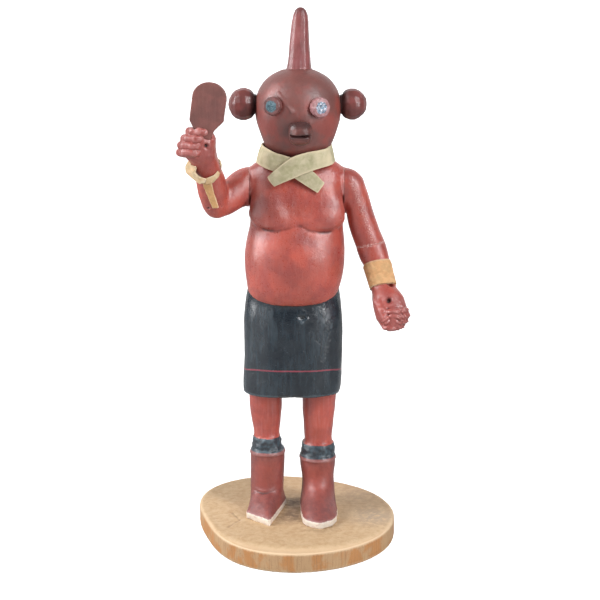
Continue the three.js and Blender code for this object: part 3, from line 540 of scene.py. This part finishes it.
# Soft leather with a nap: fine mottling, a few darker scuffs, pale cut edges.
def suede_nap_group():
    inputs = [
        ("Hide", "NodeSocketColor", colour(0.5, 0.5, 0.5)),
        ("Cut edge", "NodeSocketColor", colour(0.8, 0.7, 0.5)),
    ]
    outputs = [("Color", "NodeSocketColor"), ("Roughness", "NodeSocketFloat"), ("Height", "NodeSocketFloat")]
    tree, entry, way_out = new_group("suede_nap", inputs, outputs)
    place = object_mm(tree)
    mottle = cloud(tree, place, 3.5, 5, 0.6, 0.5)
    nap = cloud(tree, place, 0.35, 3, 0.6)
    tone = mix(tree, rise(tree, mottle, 0.3, 0.7), colour(0.84, 0.84, 0.8), colour(1.1, 1.1, 1.12))
    hide = mix(tree, 1.0, entry["Hide"], tone, "MULTIPLY")
    scuffs = calc(tree, "MULTIPLY", rise(tree, nap, 0.45, 0.25), 0.35)
    hide = mix(tree, scuffs, hide, colour(0.7, 0.62, 0.5), "MULTIPLY")
    edge = rise(tree, field(tree, "edges"), 0.05, 0.2)
    tree.links.new(mix(tree, calc(tree, "MULTIPLY", edge, 0.7), hide, entry["Cut edge"]), way_out["Color"])
    tree.links.new(calc(tree, "MULTIPLY_ADD", nap, 0.2, 0.66), way_out["Roughness"])
    tree.links.new(calc(tree, "MULTIPLY_ADD", mottle, 0.6, nap), way_out["Height"])
    return tree


suede_nap = suede_nap_group()


def make_leather(name, under, over, tanned, cut):
    """Leather in two close tones, and a third where the field "tanned" says so."""
    material, tree, shader = new_material(name)
    place = object_mm(tree)
    hide = mix(tree, rise(tree, cloud(tree, place, 5, 3, 0.6, 0.6), 0.4, 0.64), under, over)
    hide = mix(tree, field(tree, "tanned"), hide, tanned)
    nap = add_node(tree, "ShaderNodeGroup", {"Hide": hide, "Cut edge": cut}, node_tree=suede_nap).outputs
    surface(tree, shader, nap["Color"], nap["Roughness"], nap["Height"], 0.1, 0.25)
    return material


figure_paint = make_figure_paint()
arm_paint = make_arm_paint()
ear_paint = make_mask_paint("ear_paint", colour(0.14, 0.042, 0.038), colour(0.2, 0.055, 0.05), 0.34, 0.0)
paddle_paint = make_mask_paint(
    "paddle_paint", colour(0.17, 0.064, 0.053), colour(0.21, 0.074, 0.062), 0.6, 0.1
)
horn_paint = make_mask_paint("horn_paint", colour(0.23, 0.07, 0.066), colour(0.28, 0.09, 0.09), 0.32, 0.3)
snout_paint = make_mask_paint("snout_paint", colour(0.13, 0.045, 0.038), colour(0.18, 0.06, 0.05), 0.42, 0.0)
# The right eye's paint: a flat teal disc on a brown peg, and also darker all over than the left eye's, which
# is painted shade.
shaded_dull_eye = make_eye_paint(
    "shaded_dull_eye", colour(0.13, 0.05, 0.045), colour(0.2, 0.08, 0.075),
    colour(0.03, 0.07, 0.09), colour(0.08, 0.17, 0.2), colour(0.16, 0.24, 0.28), 0.0,
)
bright_eye = make_eye_paint(
    "bright_eye", colour(0.27, 0.12, 0.12), colour(0.4, 0.2, 0.21),
    colour(0.03, 0.05, 0.09), colour(0.14, 0.26, 0.36), colour(0.5, 0.5, 0.6), 1.0,
)
slab_wood = make_slab_wood()
sash_suede = make_leather(
    "sash_suede",
    colour(0.5, 0.44, 0.29), colour(0.42, 0.38, 0.23),
    colour(0.34, 0.31, 0.17), colour(0.74, 0.62, 0.42),
)
band_leather = make_leather(
    "band_leather",
    colour(0.62, 0.34, 0.16), colour(0.64, 0.38, 0.19),
    colour(0.62, 0.36, 0.18), colour(0.72, 0.5, 0.32),
)
lace_leather = make_leather(
    "lace_leather",
    colour(0.58, 0.44, 0.28), colour(0.6, 0.41, 0.23),
    colour(0.66, 0.38, 0.17), colour(0.72, 0.6, 0.44),
)


# The figure: head, trunk, kilt, legs, socks and boots in one carved piece. Front is towards -y.
def belly_line(y):
    """Height of the kilt's upper edge, which dips under the belly in front."""
    return WAIST - BELLY_DIP * np.clip((TRUNK_Y - y) / 17.4, 0, 1) ** 1.2


def by_leg(x, heights):
    return np.where(x < BETWEEN_LEGS, heights["right"], heights["left"])


def along_line(x, y, z, start, end, width):
    """1 on the line from start to end, fading to 0 at width away from it."""
    start = np.array(start, float)
    run = np.array(end, float) - start
    spots = np.stack([x, y, z], 1) - start
    part = np.clip(spots @ run / (run @ run), 0, 1)[:, None]
    return near(np.linalg.norm(spots - part * run, axis=1), width)


def around(x, y, z, middle, width):
    """1 at a point, fading to 0 at width away from it."""
    return near(np.linalg.norm(np.stack([x, y, z], 1) - np.array(middle, float), axis=1), width)


# The fold under the breasts, from the right side to the left: places across, and its height there.
FOLD_ACROSS = [-26, -22, -17.6, -12.1, -5.5, -1.1, 2.2, 6, 11, 16.5, 21.5, 25]
FOLD_HEIGHT = [187.6, 183.3, 180, 179.1, 180.9, 182.5, 182.5, 180, 178.6, 178.7, 181.6, 186]


def above_fold(x, z):
    return z - np.interp(x, FOLD_ACROSS, FOLD_HEIGHT)


def figure_freedom(x, y, z):
    held = np.zeros(len(x))
    for line, reach in (
        (belly_line(y), 2.6),
        (HEM, 2.6),
        (by_leg(x, RIM), 1.8),
        (by_leg(x, SOCK_TOP), 1.6),
        (SOLE_TOP, 1.4),
        (SLAB_TOP + 0.4, 1.6),
        (266.6, 2.0),
    ):
        held = np.maximum(held, near(z - line, reach))
    for cut in SHOULDER_CUTS:
        held = np.maximum(held, near(x - cut, 1.2) * ramp(z, 168, 176) * ramp(z, 222, 216))
    fold = near(above_fold(x, z), 4) * ramp(y, -4, -8)
    return (1 - 0.97 * held) * (1 - 0.8 * fold)


def figure_relief(x, y, z):
    over_waist = ramp(z - belly_line(y), -0.4, 0.4)
    over_hem = ramp(z, HEM - 0.4, HEM + 0.4)
    kilt = over_hem * (1 - over_waist)
    mask = ramp(z, JAW - 2, JAW + 2)
    trunk = over_waist * (1 - mask)
    over_rim = ramp(z - by_leg(x, RIM), -0.4, 0.4)
    over_sock = ramp(z - by_leg(x, SOCK_TOP), -0.4, 0.4)
    sock = over_rim * (1 - over_sock)
    leg = over_sock * (1 - over_hem)
    boot = ramp(z, SOLE_TOP - 0.3, SOLE_TOP + 0.3) * (1 - over_rim)
    sole = ramp(z, SOLE_TOP + 0.3, SOLE_TOP - 0.3)
    soft = 0.28 * lumps(x, y, z, 16, 1) + 0.12 * lumps(x, y, z, 6, 2)
    cuts = knife_marks(x, y, z, 6.5, 1.5, 0.24, 3) * (trunk + 1.1 * leg)
    cuts += knife_marks(x, y, z, 8.5, 2.6, 0.55, 4) * kilt
    cuts += knife_marks(x, y, z, 3.2, 1.1, 0.12, 10) * kilt
    cuts += knife_marks(x, y, z, 5.4, 1.3, 0.1, 5) * mask
    cuts += knife_marks(x, y, z, 4.4, 1.6, 0.16, 6) * boot
    cuts += (0.45 + knife_marks(x, y, z, 3.4, 0.7, 1.0, 7)) * sock
    cuts += 0.5 * near(z - by_leg(x, RIM) + 1.4, 1.2) * boot
    cuts += (0.2 + knife_marks(x, y, z, 3.4, 1.2, 0.12, 8)) * sole
    out = 0.2 + soft * (1 - 0.5 * sock) + cuts
    # Breasts that hang a little over the fold beneath them.
    front = ramp(y, -4, -8)
    fold = above_fold(x, z)
    breast = near(np.abs(x + 0.6) - 13, 12) * ramp(fold, 0, 3.4) * ramp(fold, 16, 6)
    out += front * (0.9 * breast - 0.25 * near(fold + 0.3, 2))
    # Brow ridge beside the right eye, and the hollows that both eyes stand in.
    out += 0.8 * along_line(x, y, z, (-10.5, -16.3, 254.4), (-2.6, -19.9, 245), 1.5)
    out -= 0.5 * around(x, y, z, (-11.5, -17, 248.5), 8.5)
    out -= 0.4 * around(x, y, z, (8.6, -18.5, 246), 9)
    out += 0.3 * along_line(x, y, z, (-0.9, -20, 244), (-0.6, -20.4, 240.5), 1.2)
    out += 0.3 * along_line(x, y, z, (6.6, -18.6, 239), (8, -17.6, 231), 1.4)
    # Nicks out of the kilt's hem and out of the top edge of the soles.
    nick = np.clip(lumps(x, y, z, 2.4, 9) - 0.25, 0, 1)
    out -= 1.3 * nick * near(z - HEM, 1.2) + 1.5 * nick * near(z - SOLE_TOP, 1.0)
    # The crease over the right instep.
    crease = 24.6 + 0.03 * (x + 20) ** 2
    instep = ramp(y, 2, -2) * near(x + 20, 9)
    out += instep * (0.35 * near(z - crease - 0.9, 0.9) - 0.5 * near(z - crease + 0.3, 1.0))
    # Two small notches in the middle of the kilt, and the groove between the breasts.
    out += 0.5 * along_line(x, y, z, (-0.2, -12.6, 130), (2.2, -12.6, 127.6), 1.2)
    out += 0.5 * along_line(x, y, z, (2.2, -12.6, 127.6), (5, -12.4, 130), 1.2)
    out -= 0.6 * along_line(x, y, z, (0.8, -12.6, 131), (3.4, -12.5, 131), 1.6)
    out -= 0.25 * along_line(x, y, z, (0, -12.4, 195), (0.6, -12.8, 184), 4)
    return out


def shoulder_share(x, y, z, facing, cut):
    """How much of a place beside a shoulder's cut is welded. The hidden cut itself is left alone."""
    beside = near(x - cut, 7) ** 0.5 * ramp(z, 168, 176) * ramp(z, 222, 216)
    return beside * ramp(np.abs(facing[:, 0]), 0.97, 0.9)


def carved_figure():
    piece = even_copy("figure_body", "carved_figure", 0.75)
    soften(piece, 60, figure_freedom(*places(piece).T))
    for cut in SHOULDER_CUTS:
        weld(piece, shoulders, shoulder_share(*places(piece).T, facings(piece), cut))
    carve(piece, figure_relief)
    soften(piece, 2, 0.5)
    x, y, z = places(piece).T
    record_field(piece, "over_waist", z - belly_line(y))
    record_field(piece, "over_hem", z - HEM + 0.3)
    record_field(piece, "over_rim", z - by_leg(x, RIM))
    record_field(piece, "over_sock", z - by_leg(x, SOCK_TOP))
    record_field(piece, "over_sole", z - SOLE_TOP)
    record_field(piece, "over_jaw", z - JAW)
    record_field(piece, "over_line", z - 98.2 - 1.9 * ramp(y, 0, -12))
    cheeks = np.maximum(around(x, y, z, (16, -9, 236), 15), around(x, y, z, (-17, -8, 238), 15))
    record_field(piece, "cheek", cheeks)
    # A painted shadow of the muzzle on the face at its left.
    record_field(piece, "dark_paint_and_shade", around(x, y, z, (-4.5, -20, 234), 8.5))
    # The painted shadow of the raised arm on the chest, partly dirt.
    record_field(piece, "dark_patch", around(x, y, z, (-21, -9, 193), 19))
    shaft = np.abs(z - by_leg(x, {"right": 34, "left": 33}))
    record_field(piece, "shaft", ramp(shaft, 13, 4) * ramp(y, 4, -4))
    record_edges(piece)
    return finish_piece(piece, figure_paint)


# Both arms. Fingers and cut ends keep their edges, and the rest is rounded. Cut ends are pushed home, so
# that the joins close.
UP_THE_ARM = (-0.21, 0.1, 0.97)
LEFT_ELBOW = (41, 3, 169.6)


def elbow_height(x, y, z):
    """How far above the left elbow's join a place is."""
    return np.stack([x, y, z], 1) @ UP_THE_ARM - np.dot(LEFT_ELBOW, UP_THE_ARM)


def close_shoulder(piece, cut, shift):
    """Moves the arm's flat end across by shift, in millimetres."""
    spots = places(piece)
    spots[:, 0] += shift * near(spots[:, 0] - cut, 1.5)
    move_to(piece, spots)


def close_elbow(piece, shift):
    """Moves the end at the left elbow up the arm by shift, in millimetres."""
    spots = places(piece)
    move_to(piece, spots + np.outer(shift * near(elbow_height(*spots.T), 1.5), UP_THE_ARM))


def raised_arm():
    piece = even_copy("right_arm", "raised_arm", 0.42)
    x, y, z = places(piece).T
    hand = ramp(z, 217, 222)
    held = np.maximum(0.93 * hand, near(x - SHOULDER_CUTS[0] + 0.3, 1.2))
    soften(piece, 70, 1 - 0.97 * held)
    weld(piece, shoulders, shoulder_share(*places(piece).T, facings(piece), SHOULDER_CUTS[0]))

    def relief(x, y, z):
        hand = ramp(z, 217, 222)
        out = 0.2 + 0.25 * lumps(x, y, z, 12, 11) + knife_marks(x, y, z, 6, 1.4, 0.16, 12) * (1 - hand)
        out += (0.15 + 0.3 * lumps(x, y, z, 2.6, 13) + knife_marks(x, y, z, 3, 0.7, 0.2, 14)) * hand
        out -= 2.2 * around(x, y, z, (-48.7, -28.9, 227.7), 2.1)
        out -= 0.9 * along_line(x, y, z, (-49, -13.6, 192.6), (-42, -13.3, 193.6), 0.9)
        return out

    carve(piece, relief)
    close_shoulder(piece, SHOULDER_CUTS[0], 0.35)
    x, y, z = places(piece).T
    record_field(piece, "hand", z - 219)
    hole = around(x, y, z, (-48.7, -27.4, 227.7), 1.9)
    slot = along_line(x, y, z, (-49, -13.4, 192.6), (-42, -13, 193.6), 1)
    # Where the hole and the slit get painted shade.
    record_field(piece, "pit_shade", np.maximum(hole, slot))
    record_field(piece, "filler_and_highlight", 0.5 * near(x - SHOULDER_CUTS[0], 2.5) * ramp(z, 204, 210))
    record_edges(piece)
    return finish_piece(piece, arm_paint)


def hanging_upper_arm():
    piece = even_copy("left_upper_arm", "hanging_upper_arm", 0.5)
    x, y, z = places(piece).T
    ends = np.maximum(near(x - SHOULDER_CUTS[1] - 0.3, 1.2), near(elbow_height(x, y, z), 1.2))
    soften(piece, 60, 1 - 0.97 * ends)
    weld(piece, shoulders, shoulder_share(*places(piece).T, facings(piece), SHOULDER_CUTS[1]))

    def relief(x, y, z):
        return 0.2 + 0.2 * lumps(x, y, z, 12, 21) + knife_marks(x, y, z, 5, 2.2, 0.2, 22)

    carve(piece, relief)
    close_shoulder(piece, SHOULDER_CUTS[1], -0.35)
    close_elbow(piece, -0.25)
    x, y, z = places(piece).T
    record_field(piece, "hand", np.full(len(x), -50.0))
    # A streak of pale flecks down the upper arm: a painted highlight. The elbow's flecks are filler.
    streak = 0.55 * along_line(x, y, z, (29.8, -4.6, 205.6), (41.8, -4.6, 173.2), 2.6)
    record_field(piece, "filler_and_highlight", np.maximum(streak, near(elbow_height(x, y, z), 1.6)))
    record_edges(piece)
    return finish_piece(piece, arm_paint)


def hanging_forearm():
    piece = even_copy("left_forearm", "hanging_forearm", 0.4)
    x, y, z = places(piece).T
    hand = ramp(z, 145, 141)
    ends = near(elbow_height(x, y, z), 1.2)
    soften(piece, 70, 1 - 0.97 * np.maximum(0.9 * hand, ends))

    def relief(x, y, z):
        hand = ramp(z, 146, 142)
        out = 0.2 + 0.2 * lumps(x, y, z, 12, 31) + knife_marks(x, y, z, 6, 1.4, 0.14, 32) * (1 - hand)
        out += (0.2 * lumps(x, y, z, 2.6, 33) + knife_marks(x, y, z, 3, 0.7, 0.16, 34)) * hand
        fingers = ramp(z, 139.5, 137.5) * ramp(x, 45, 49)
        knuckles = near(np.mod(z + 0.12 * (x - 52) ** 2 + 0.6, 2.6) - 1.3, 1.2) * fingers
        return out - 0.4 * knuckles - 2.6 * around(x, y, z, (50.1, -18.9, 142.2), 2.6)

    carve(piece, relief)
    close_elbow(piece, 0.25)
    x, y, z = places(piece).T
    record_field(piece, "hand", 144.6 - z)
    # Where the hole gets painted shade.
    record_field(piece, "pit_shade", around(x, y, z, (50.1, -17.6, 141.6), 2.3))
    record_field(piece, "filler_and_highlight", near(elbow_height(x, y, z), 1.4))
    record_edges(piece)
    return finish_piece(piece, arm_paint)


# Small whittled pieces: horn, ear knobs, eyes, snout and paddle.
def whittled(node, name, voxel, rounds, freedom, relief, material, dark_paint_and_shade):
    """A small piece. The last argument tells where its paint is darkened, from 0 to 1: by dark paint and by
    painted shade.
    """
    piece = even_copy(node, name, voxel)
    soften(piece, rounds, freedom)
    carve(piece, relief)
    record_field(piece, "dark_paint_and_shade", dark_paint_and_shade(*places(piece).T))
    record_edges(piece)
    return finish_piece(piece, material)


def clean(x, y, z):
    return 0 * x


def eye_peg(node, name, side, material):
    """An eye with its flat end marked. The field "disc" is how far inside the painted disc a place is."""
    piece = whittled(node, name, 0.2, 8, 0.5, eye_relief, material, clean)
    turn = math.radians(24)
    axis = np.array([side * math.sin(turn), -math.cos(turn), 0])
    flat = ramp(facings(piece) @ axis, 0.6, 0.8)
    spots = places(piece)
    spots -= np.average(spots, axis=0, weights=flat)
    distance = np.linalg.norm(spots - np.outer(spots @ axis, axis), axis=1)
    record_field(piece, "disc", (3.2 - distance) * flat - 2 * (1 - flat))
    return piece


def horn_relief(x, y, z):
    foot = 0.3 * ramp(z, 267.6, 266.8)
    return 0.18 * lumps(x, y, z, 7, 41) + knife_marks(x, y, z, 3.4, 2.4, 0.16, 42) + foot


def horn_dark_tip_and_side_shade(x, y, z):
    # Darker at the tip, and painted shade down both sides as seen from the front.
    return 0.6 * ramp(z, 294, 299) + 0.4 * ramp(np.abs(x - 0.8), 4.4, 6.4)


def ear_relief(x, y, z):
    return 0.2 * lumps(x, y, z, 6, 51) + knife_marks(x, y, z, 5.6, 1.0, 0.5, 52) * ramp(np.abs(x), 25, 28)


def ear_inner_shade(x, y, z):
    # Painted shade on the inner end of the knob, between it and the head.
    return ramp(np.abs(x), 27.5, 24.5)


def eye_relief(x, y, z):
    return 0.12 * lumps(x, y, z, 2.2, 61)


def snout_relief(x, y, z):
    slit = along_line(x, y, z, (-6.5, -29, 231.4), (8, -29, 232.6), 1.4)
    return 0.25 * lumps(x, y, z, 4, 71) + knife_marks(x, y, z, 3.6, 1.2, 0.3, 72) - 0.6 * slit


def snout_dark_paint_and_shade(x, y, z):
    # Dark paint on the mouth and on the muzzle's top, and painted shade on its left end.
    mouth = near(z - 232.3 - 0.06 * x, 2.2) * ramp(y, -23, -27)
    left_end = around(x, y, z, (-4.6, -27, 233), 4)
    return np.maximum(mouth, np.maximum(0.9 * left_end, 0.85 * ramp(z, 235.4, 238.4)))


def paddle_relief(x, y, z):
    return 0.14 * lumps(x, y, z, 8, 81) + knife_marks(x, y, z, 3.2, 2.2, 0.07, 82)


# The drying split in the slab's top: three places that it runs through.
SPLIT = ((-38.6, -1.7, SLAB_TOP), (-33.4, -14.3, SLAB_TOP), (-39.7, -25, SLAB_TOP))


def in_split(x, y, z, width, width_beyond):
    first = along_line(x, y, z, SPLIT[0], SPLIT[1], width)
    return np.maximum(first, along_line(x, y, z, SPLIT[1], SPLIT[2], width_beyond))


def slab_relief(x, y, z):
    angle = np.arctan2(y, x)
    side = ramp(z, 11.2, 10) * ramp(np.hypot(x, y), 50, 54)
    saw = 0.07 * np.sin(angle * 190 + 2 * lumps(x, y, z * 0.2, 9, 91)) * side
    top = ramp(z, 11, 11.8)
    dips = 0.22 * lumps(x, y, z, 24, 92) + 0.07 * lumps(x, y, z, 5, 93)
    worn = 0.9 * ramp(y, -16, -40) * near(np.hypot(x, y) - 59, 6.5) * top
    return (saw + dips - 0.5 * in_split(x, y, z, 0.8, 0.7) * top - worn) * ramp(z, 0.2, 1.2)


def wood_slab():
    piece = even_copy("base_slab", "wood_slab", 0.72)
    soften(piece, 12, 1 - 0.9 * ramp(places(piece)[:, 2], 0.9, 0.4))
    carve(piece, slab_relief)
    x, y, z = places(piece).T

    def patch(across, back, width):
        return around(x, y, 0 * z, (across, back, 0), width)

    feet = np.maximum(np.maximum(patch(-3, -8, 17), patch(-4, 14, 20)), 0.6 * patch(12, -24, 16))
    # Darker round the feet and in the split.
    record_field(piece, "darker_round_feet_and_split", np.maximum(feet * ramp(z, 10, 11.5), 0.8 * in_split(x, y, z, 0.9, 0.9)))
    record_field(piece, "stain", patch(44, -8, 24) + 0.7 * patch(38, 28, 28))
    record_field(piece, "side", ramp(z, 11.6, 10.2))
    record_field(piece, "rear", ramp(y, -5, 45) * ramp(x, -50, 10))
    record_field(piece, "rim", ramp(y, -10, -35) * near(np.hypot(x, y) - 59, 6) * ramp(z, 10.2, 11.4))
    record_edges(piece)
    return finish_piece(piece, slab_wood)


# Neck sash: a strip of thin leather once round the neck, crossed in front. Each station is its lower
# and its upper edge, from the end that lies underneath to the end that lies on top.
SASH_EDGES = [
    [[10.6, -12.8, 200.7], [14.3, -12.4, 206.1]],
    [[4.2, -13.2, 204.8], [8.1, -13.2, 212.5]],
    [[-2.3, -13.4, 209], [1.6, -13.6, 217.8]],
    [[-9, -13, 211.4], [-6.2, -13.4, 220.8]],
    [[-13.6, -11.8, 212.6], [-12.3, -12.2, 222.6]],
    [[-18.6, -8.6, 214.2], [-16.8, -8.2, 224.6]],
    [[-21.9, -1.4, 215.6], [-19, -1, 225.6]],
    [[-22.3, 8, 215.8], [-19.2, 8, 226]],
    [[-17, 20.2, 215.4], [-14.6, 17.8, 226]],
    [[0, 26.6, 215], [0, 23.2, 226.2]],
    [[17, 20.2, 215.4], [14.6, 17.8, 226]],
    [[19.9, 8, 215.8], [17.9, 8, 225.8]],
    [[19.3, -1.4, 216], [17, -1, 225.4]],
    [[17.6, -8.8, 215.4], [15.2, -9, 224.6]],
    [[11.6, -13.6, 214.2], [11, -13.8, 224]],
    [[4.6, -15.4, 212], [4.7, -15.2, 222.9]],
    [[-2.3, -15.6, 209], [-3.2, -15.6, 220.4]],
    [[-8.4, -14.8, 206.4], [-11.2, -14.8, 214.4]],
    [[-13, -13.2, 204.3], [-16.6, -12.6, 209.3]],
]


def strip_grid(name, along, across):
    """A flat grid, its UV map running 0 to 1 along the strip and 0 to 1 across it."""
    bpy.ops.object.select_all(action="DESELECT")
    bpy.ops.mesh.primitive_grid_add(x_subdivisions=along, y_subdivisions=across, size=2, calc_uvs=True)
    piece = bpy.context.object
    piece.name = name
    return piece


def curve_through(points, part):
    """Places on a smooth curve through the points, for part from 0 to 1."""
    points = np.array(points, float)
    step = np.clip(part, 0, 1) * (len(points) - 1)
    index = np.minimum(step.astype(int), len(points) - 2)
    t = (step - index)[:, None]
    padded = np.concatenate([2 * points[:1] - points[1:2], points, 2 * points[-1:] - points[-2:-1]])
    a, b, c, d = (padded[index + k] for k in range(4))
    return b + 0.5 * t * (c - a + t * (2 * a - 5 * b + 4 * c - d + t * (3 * (b - c) + d - a)))


def neck_sash():
    piece = strip_grid("sash_strip", 150, 12)
    flat = places(piece) * MM
    along = (flat[:, 0] + 1) / 2
    across = (flat[:, 1] + 1) / 2
    low = curve_through([pair[0] for pair in SASH_EDGES], along)
    high = curve_through([pair[1] for pair in SASH_EDGES], along)
    spots = low + (high - low) * across[:, None]
    middle = np.array([0, 5, 0])
    away = (spots - middle) * (1, 1, 0)
    away /= np.linalg.norm(away, axis=1)[:, None]
    crown = 0.35 * np.sin(np.pi * across)
    wrinkle = 0.18 * lumps(along * 60, across * 8, 0 * along, 4, 101)
    curl = 0.25 * lumps(along * 30, 0 * along, 0 * along, 3, 102) * np.abs(2 * across - 1) ** 3
    move_to(piece, spots + away * (crown + wrinkle + curl + 0.1)[:, None])
    thick = piece.modifiers.new("Leather thickness", "SOLIDIFY")
    thick.thickness = 1.1 * MM
    thick.offset = 0
    rim = piece.modifiers.new("Soft edge", "BEVEL")
    rim.width = 0.22 * MM
    rim.segments = 2
    rim.limit_method = "ANGLE"
    rim.angle_limit = math.radians(50)
    apply_modifiers(piece)
    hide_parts("neck_sash")
    record_edges(piece)
    finish_piece(piece, sash_suede)
    return piece


def wrist_band():
    piece = even_copy("left_wrist_band", "wrist_band", 0.34)
    soften(piece, 40, 0.6)
    x, y, z = places(piece).T
    # Where the arm's axis passes, at four heights inside the band.
    heights = [147.2, 153.2, 159.2, 162.5]
    from_axis_x = x - np.interp(z, heights, [47.6, 45.95, 44.25, 43])
    from_axis_y = y - np.interp(z, heights, [-6.6, -3.6, -0.8, 0.6])
    facing = facings(piece)
    outward = from_axis_x * facing[:, 0] + from_axis_y * facing[:, 1] > 0

    def relief(x, y, z):
        turn = z - 0.2 * x + 0.05 * (x - 46) ** 2
        lines = near(np.mod(turn + 0.5 * lumps(x, y, z, 8, 111), 2.7) - 1.3, 0.7)
        return np.where(outward, 0.08 * lumps(x, y, z, 5, 112) - 0.14 * lines - 0.3, 0.5)

    carve(piece, relief)
    record_edges(piece)
    return finish_piece(piece, band_leather)


def wrist_thong():
    piece = even_copy("right_wrist_thong", "wrist_thong", 0.3)
    soften(piece, 16, 0.6)

    def relief(x, y, z):
        return 0.12 * lumps(x, y, z, 3.4, 121) + 0.06 * lumps(x, y, z, 1.2, 122)

    carve(piece, relief)
    x, y, z = places(piece).T
    record_field(piece, "tanned", ramp(z, 208, 205.5))
    record_edges(piece)
    return finish_piece(piece, lace_leather)


shoulders = welded_form(["figure_body", "right_arm", "left_upper_arm", "left_forearm"], 0.72, 30)
carved_figure()
raised_arm()
hanging_upper_arm()
hanging_forearm()
whittled("horn", "whittled_horn", 0.34, 16, 0.6, horn_relief, horn_paint, horn_dark_tip_and_side_shade)
whittled("right_ear_knob", "right_ear", 0.34, 10, 0.5, ear_relief, ear_paint, ear_inner_shade)
whittled("left_ear_knob", "left_ear", 0.34, 10, 0.5, ear_relief, ear_paint, ear_inner_shade)
eye_peg("right_eye", "right_eye_peg", -1, shaded_dull_eye)
eye_peg("left_eye", "left_eye_peg", 1, bright_eye)
whittled("snout", "carved_snout", 0.26, 10, 0.5, snout_relief, snout_paint, snout_dark_paint_and_shade)
whittled("paddle", "paddle_board", 0.34, 8, 0.5, paddle_relief, paddle_paint, clean)
wood_slab()
neck_sash()
wrist_band()
wrist_thong()


# Pale floor, white backdrop and surroundings, three soft lights and the camera at the photograph's angle.
CAMERA_PLACE = (0.0011, -0.725, 0.291)
CAMERA_TILT = 78.1
CAMERA_LENS = 78.6
AIM_HEIGHT = 0.17
DAYLIGHT = (0.96, 0.98, 1)


def soft_light(name, turn, rise, away, wide, tall, watts):
    """An area light aimed at the doll's middle. turn is its angle to the right of the camera's side."""
    angle = math.radians(turn)
    height = math.radians(rise)
    flat = away * math.cos(height)
    place = (flat * math.sin(angle), -flat * math.cos(angle), AIM_HEIGHT + away * math.sin(height))
    bpy.ops.object.select_all(action="DESELECT")
    bpy.ops.object.light_add(type="AREA", location=place, rotation=(math.pi / 2 - height, 0, angle))
    light = bpy.context.object
    light.name = name
    light.data.shape = "RECTANGLE"
    light.data.size = wide
    light.data.size_y = tall
    light.data.energy = watts
    light.data.color = DAYLIGHT


def glow_for_camera(tree, strength, light_given):
    """Sets how bright a white surface looks to the camera, and how much light it gives to all else."""
    seen = add_node(tree, "ShaderNodeLightPath").outputs["Is Camera Ray"]
    tree.links.new(calc(tree, "MULTIPLY_ADD", seen, 1 - light_given, light_given), strength)


def stage_plane(name, size, **placed):
    bpy.ops.object.select_all(action="DESELECT")
    bpy.ops.mesh.primitive_plane_add(size=size, **placed)
    plane = bpy.context.object
    plane.name = name
    material, tree, shader = new_material(name + "_white")
    shader.inputs["Emission Color"].default_value = colour(1, 1, 1)
    plane.data.materials.append(material)
    return tree, shader


def studio():
    tree, shader = stage_plane("floor", 40)
    shader.inputs["Base Color"].default_value = colour(0.35, 0.35, 0.35)
    shader.inputs["Roughness"].default_value = 0.8
    shader.inputs["Specular IOR Level"].default_value = 0.2
    glow_for_camera(tree, shader.inputs["Emission Strength"], 0.05)
    tree, shader = stage_plane("backdrop", 4, location=(0, 1.4, 1.9), rotation=(math.pi / 2, 0, 0))
    glow_for_camera(tree, shader.inputs["Emission Strength"], 0.6)
    world = bpy.data.worlds.new("white_surroundings")
    world.use_nodes = True
    background = world.node_tree.nodes["Background"].inputs
    background["Color"].default_value = colour(1, 1, 1)
    glow_for_camera(world.node_tree, background["Strength"], 0.1)
    soft_light("left_light", -80, 27, 1.1, 0.34, 1.0, 16)
    soft_light("left_strip", -44, 20, 1.2, 0.12, 1.2, 3.2)
    soft_light("right_light", 45, 26, 1.2, 0.26, 1.1, 16)
    bpy.ops.object.select_all(action="DESELECT")
    bpy.ops.object.camera_add(location=CAMERA_PLACE, rotation=(math.radians(CAMERA_TILT), 0, 0))
    scene = bpy.context.scene
    scene.world = world
    scene.camera = bpy.context.object
    scene.camera.data.lens = CAMERA_LENS
    scene.view_settings.view_transform = "Standard"


studio()
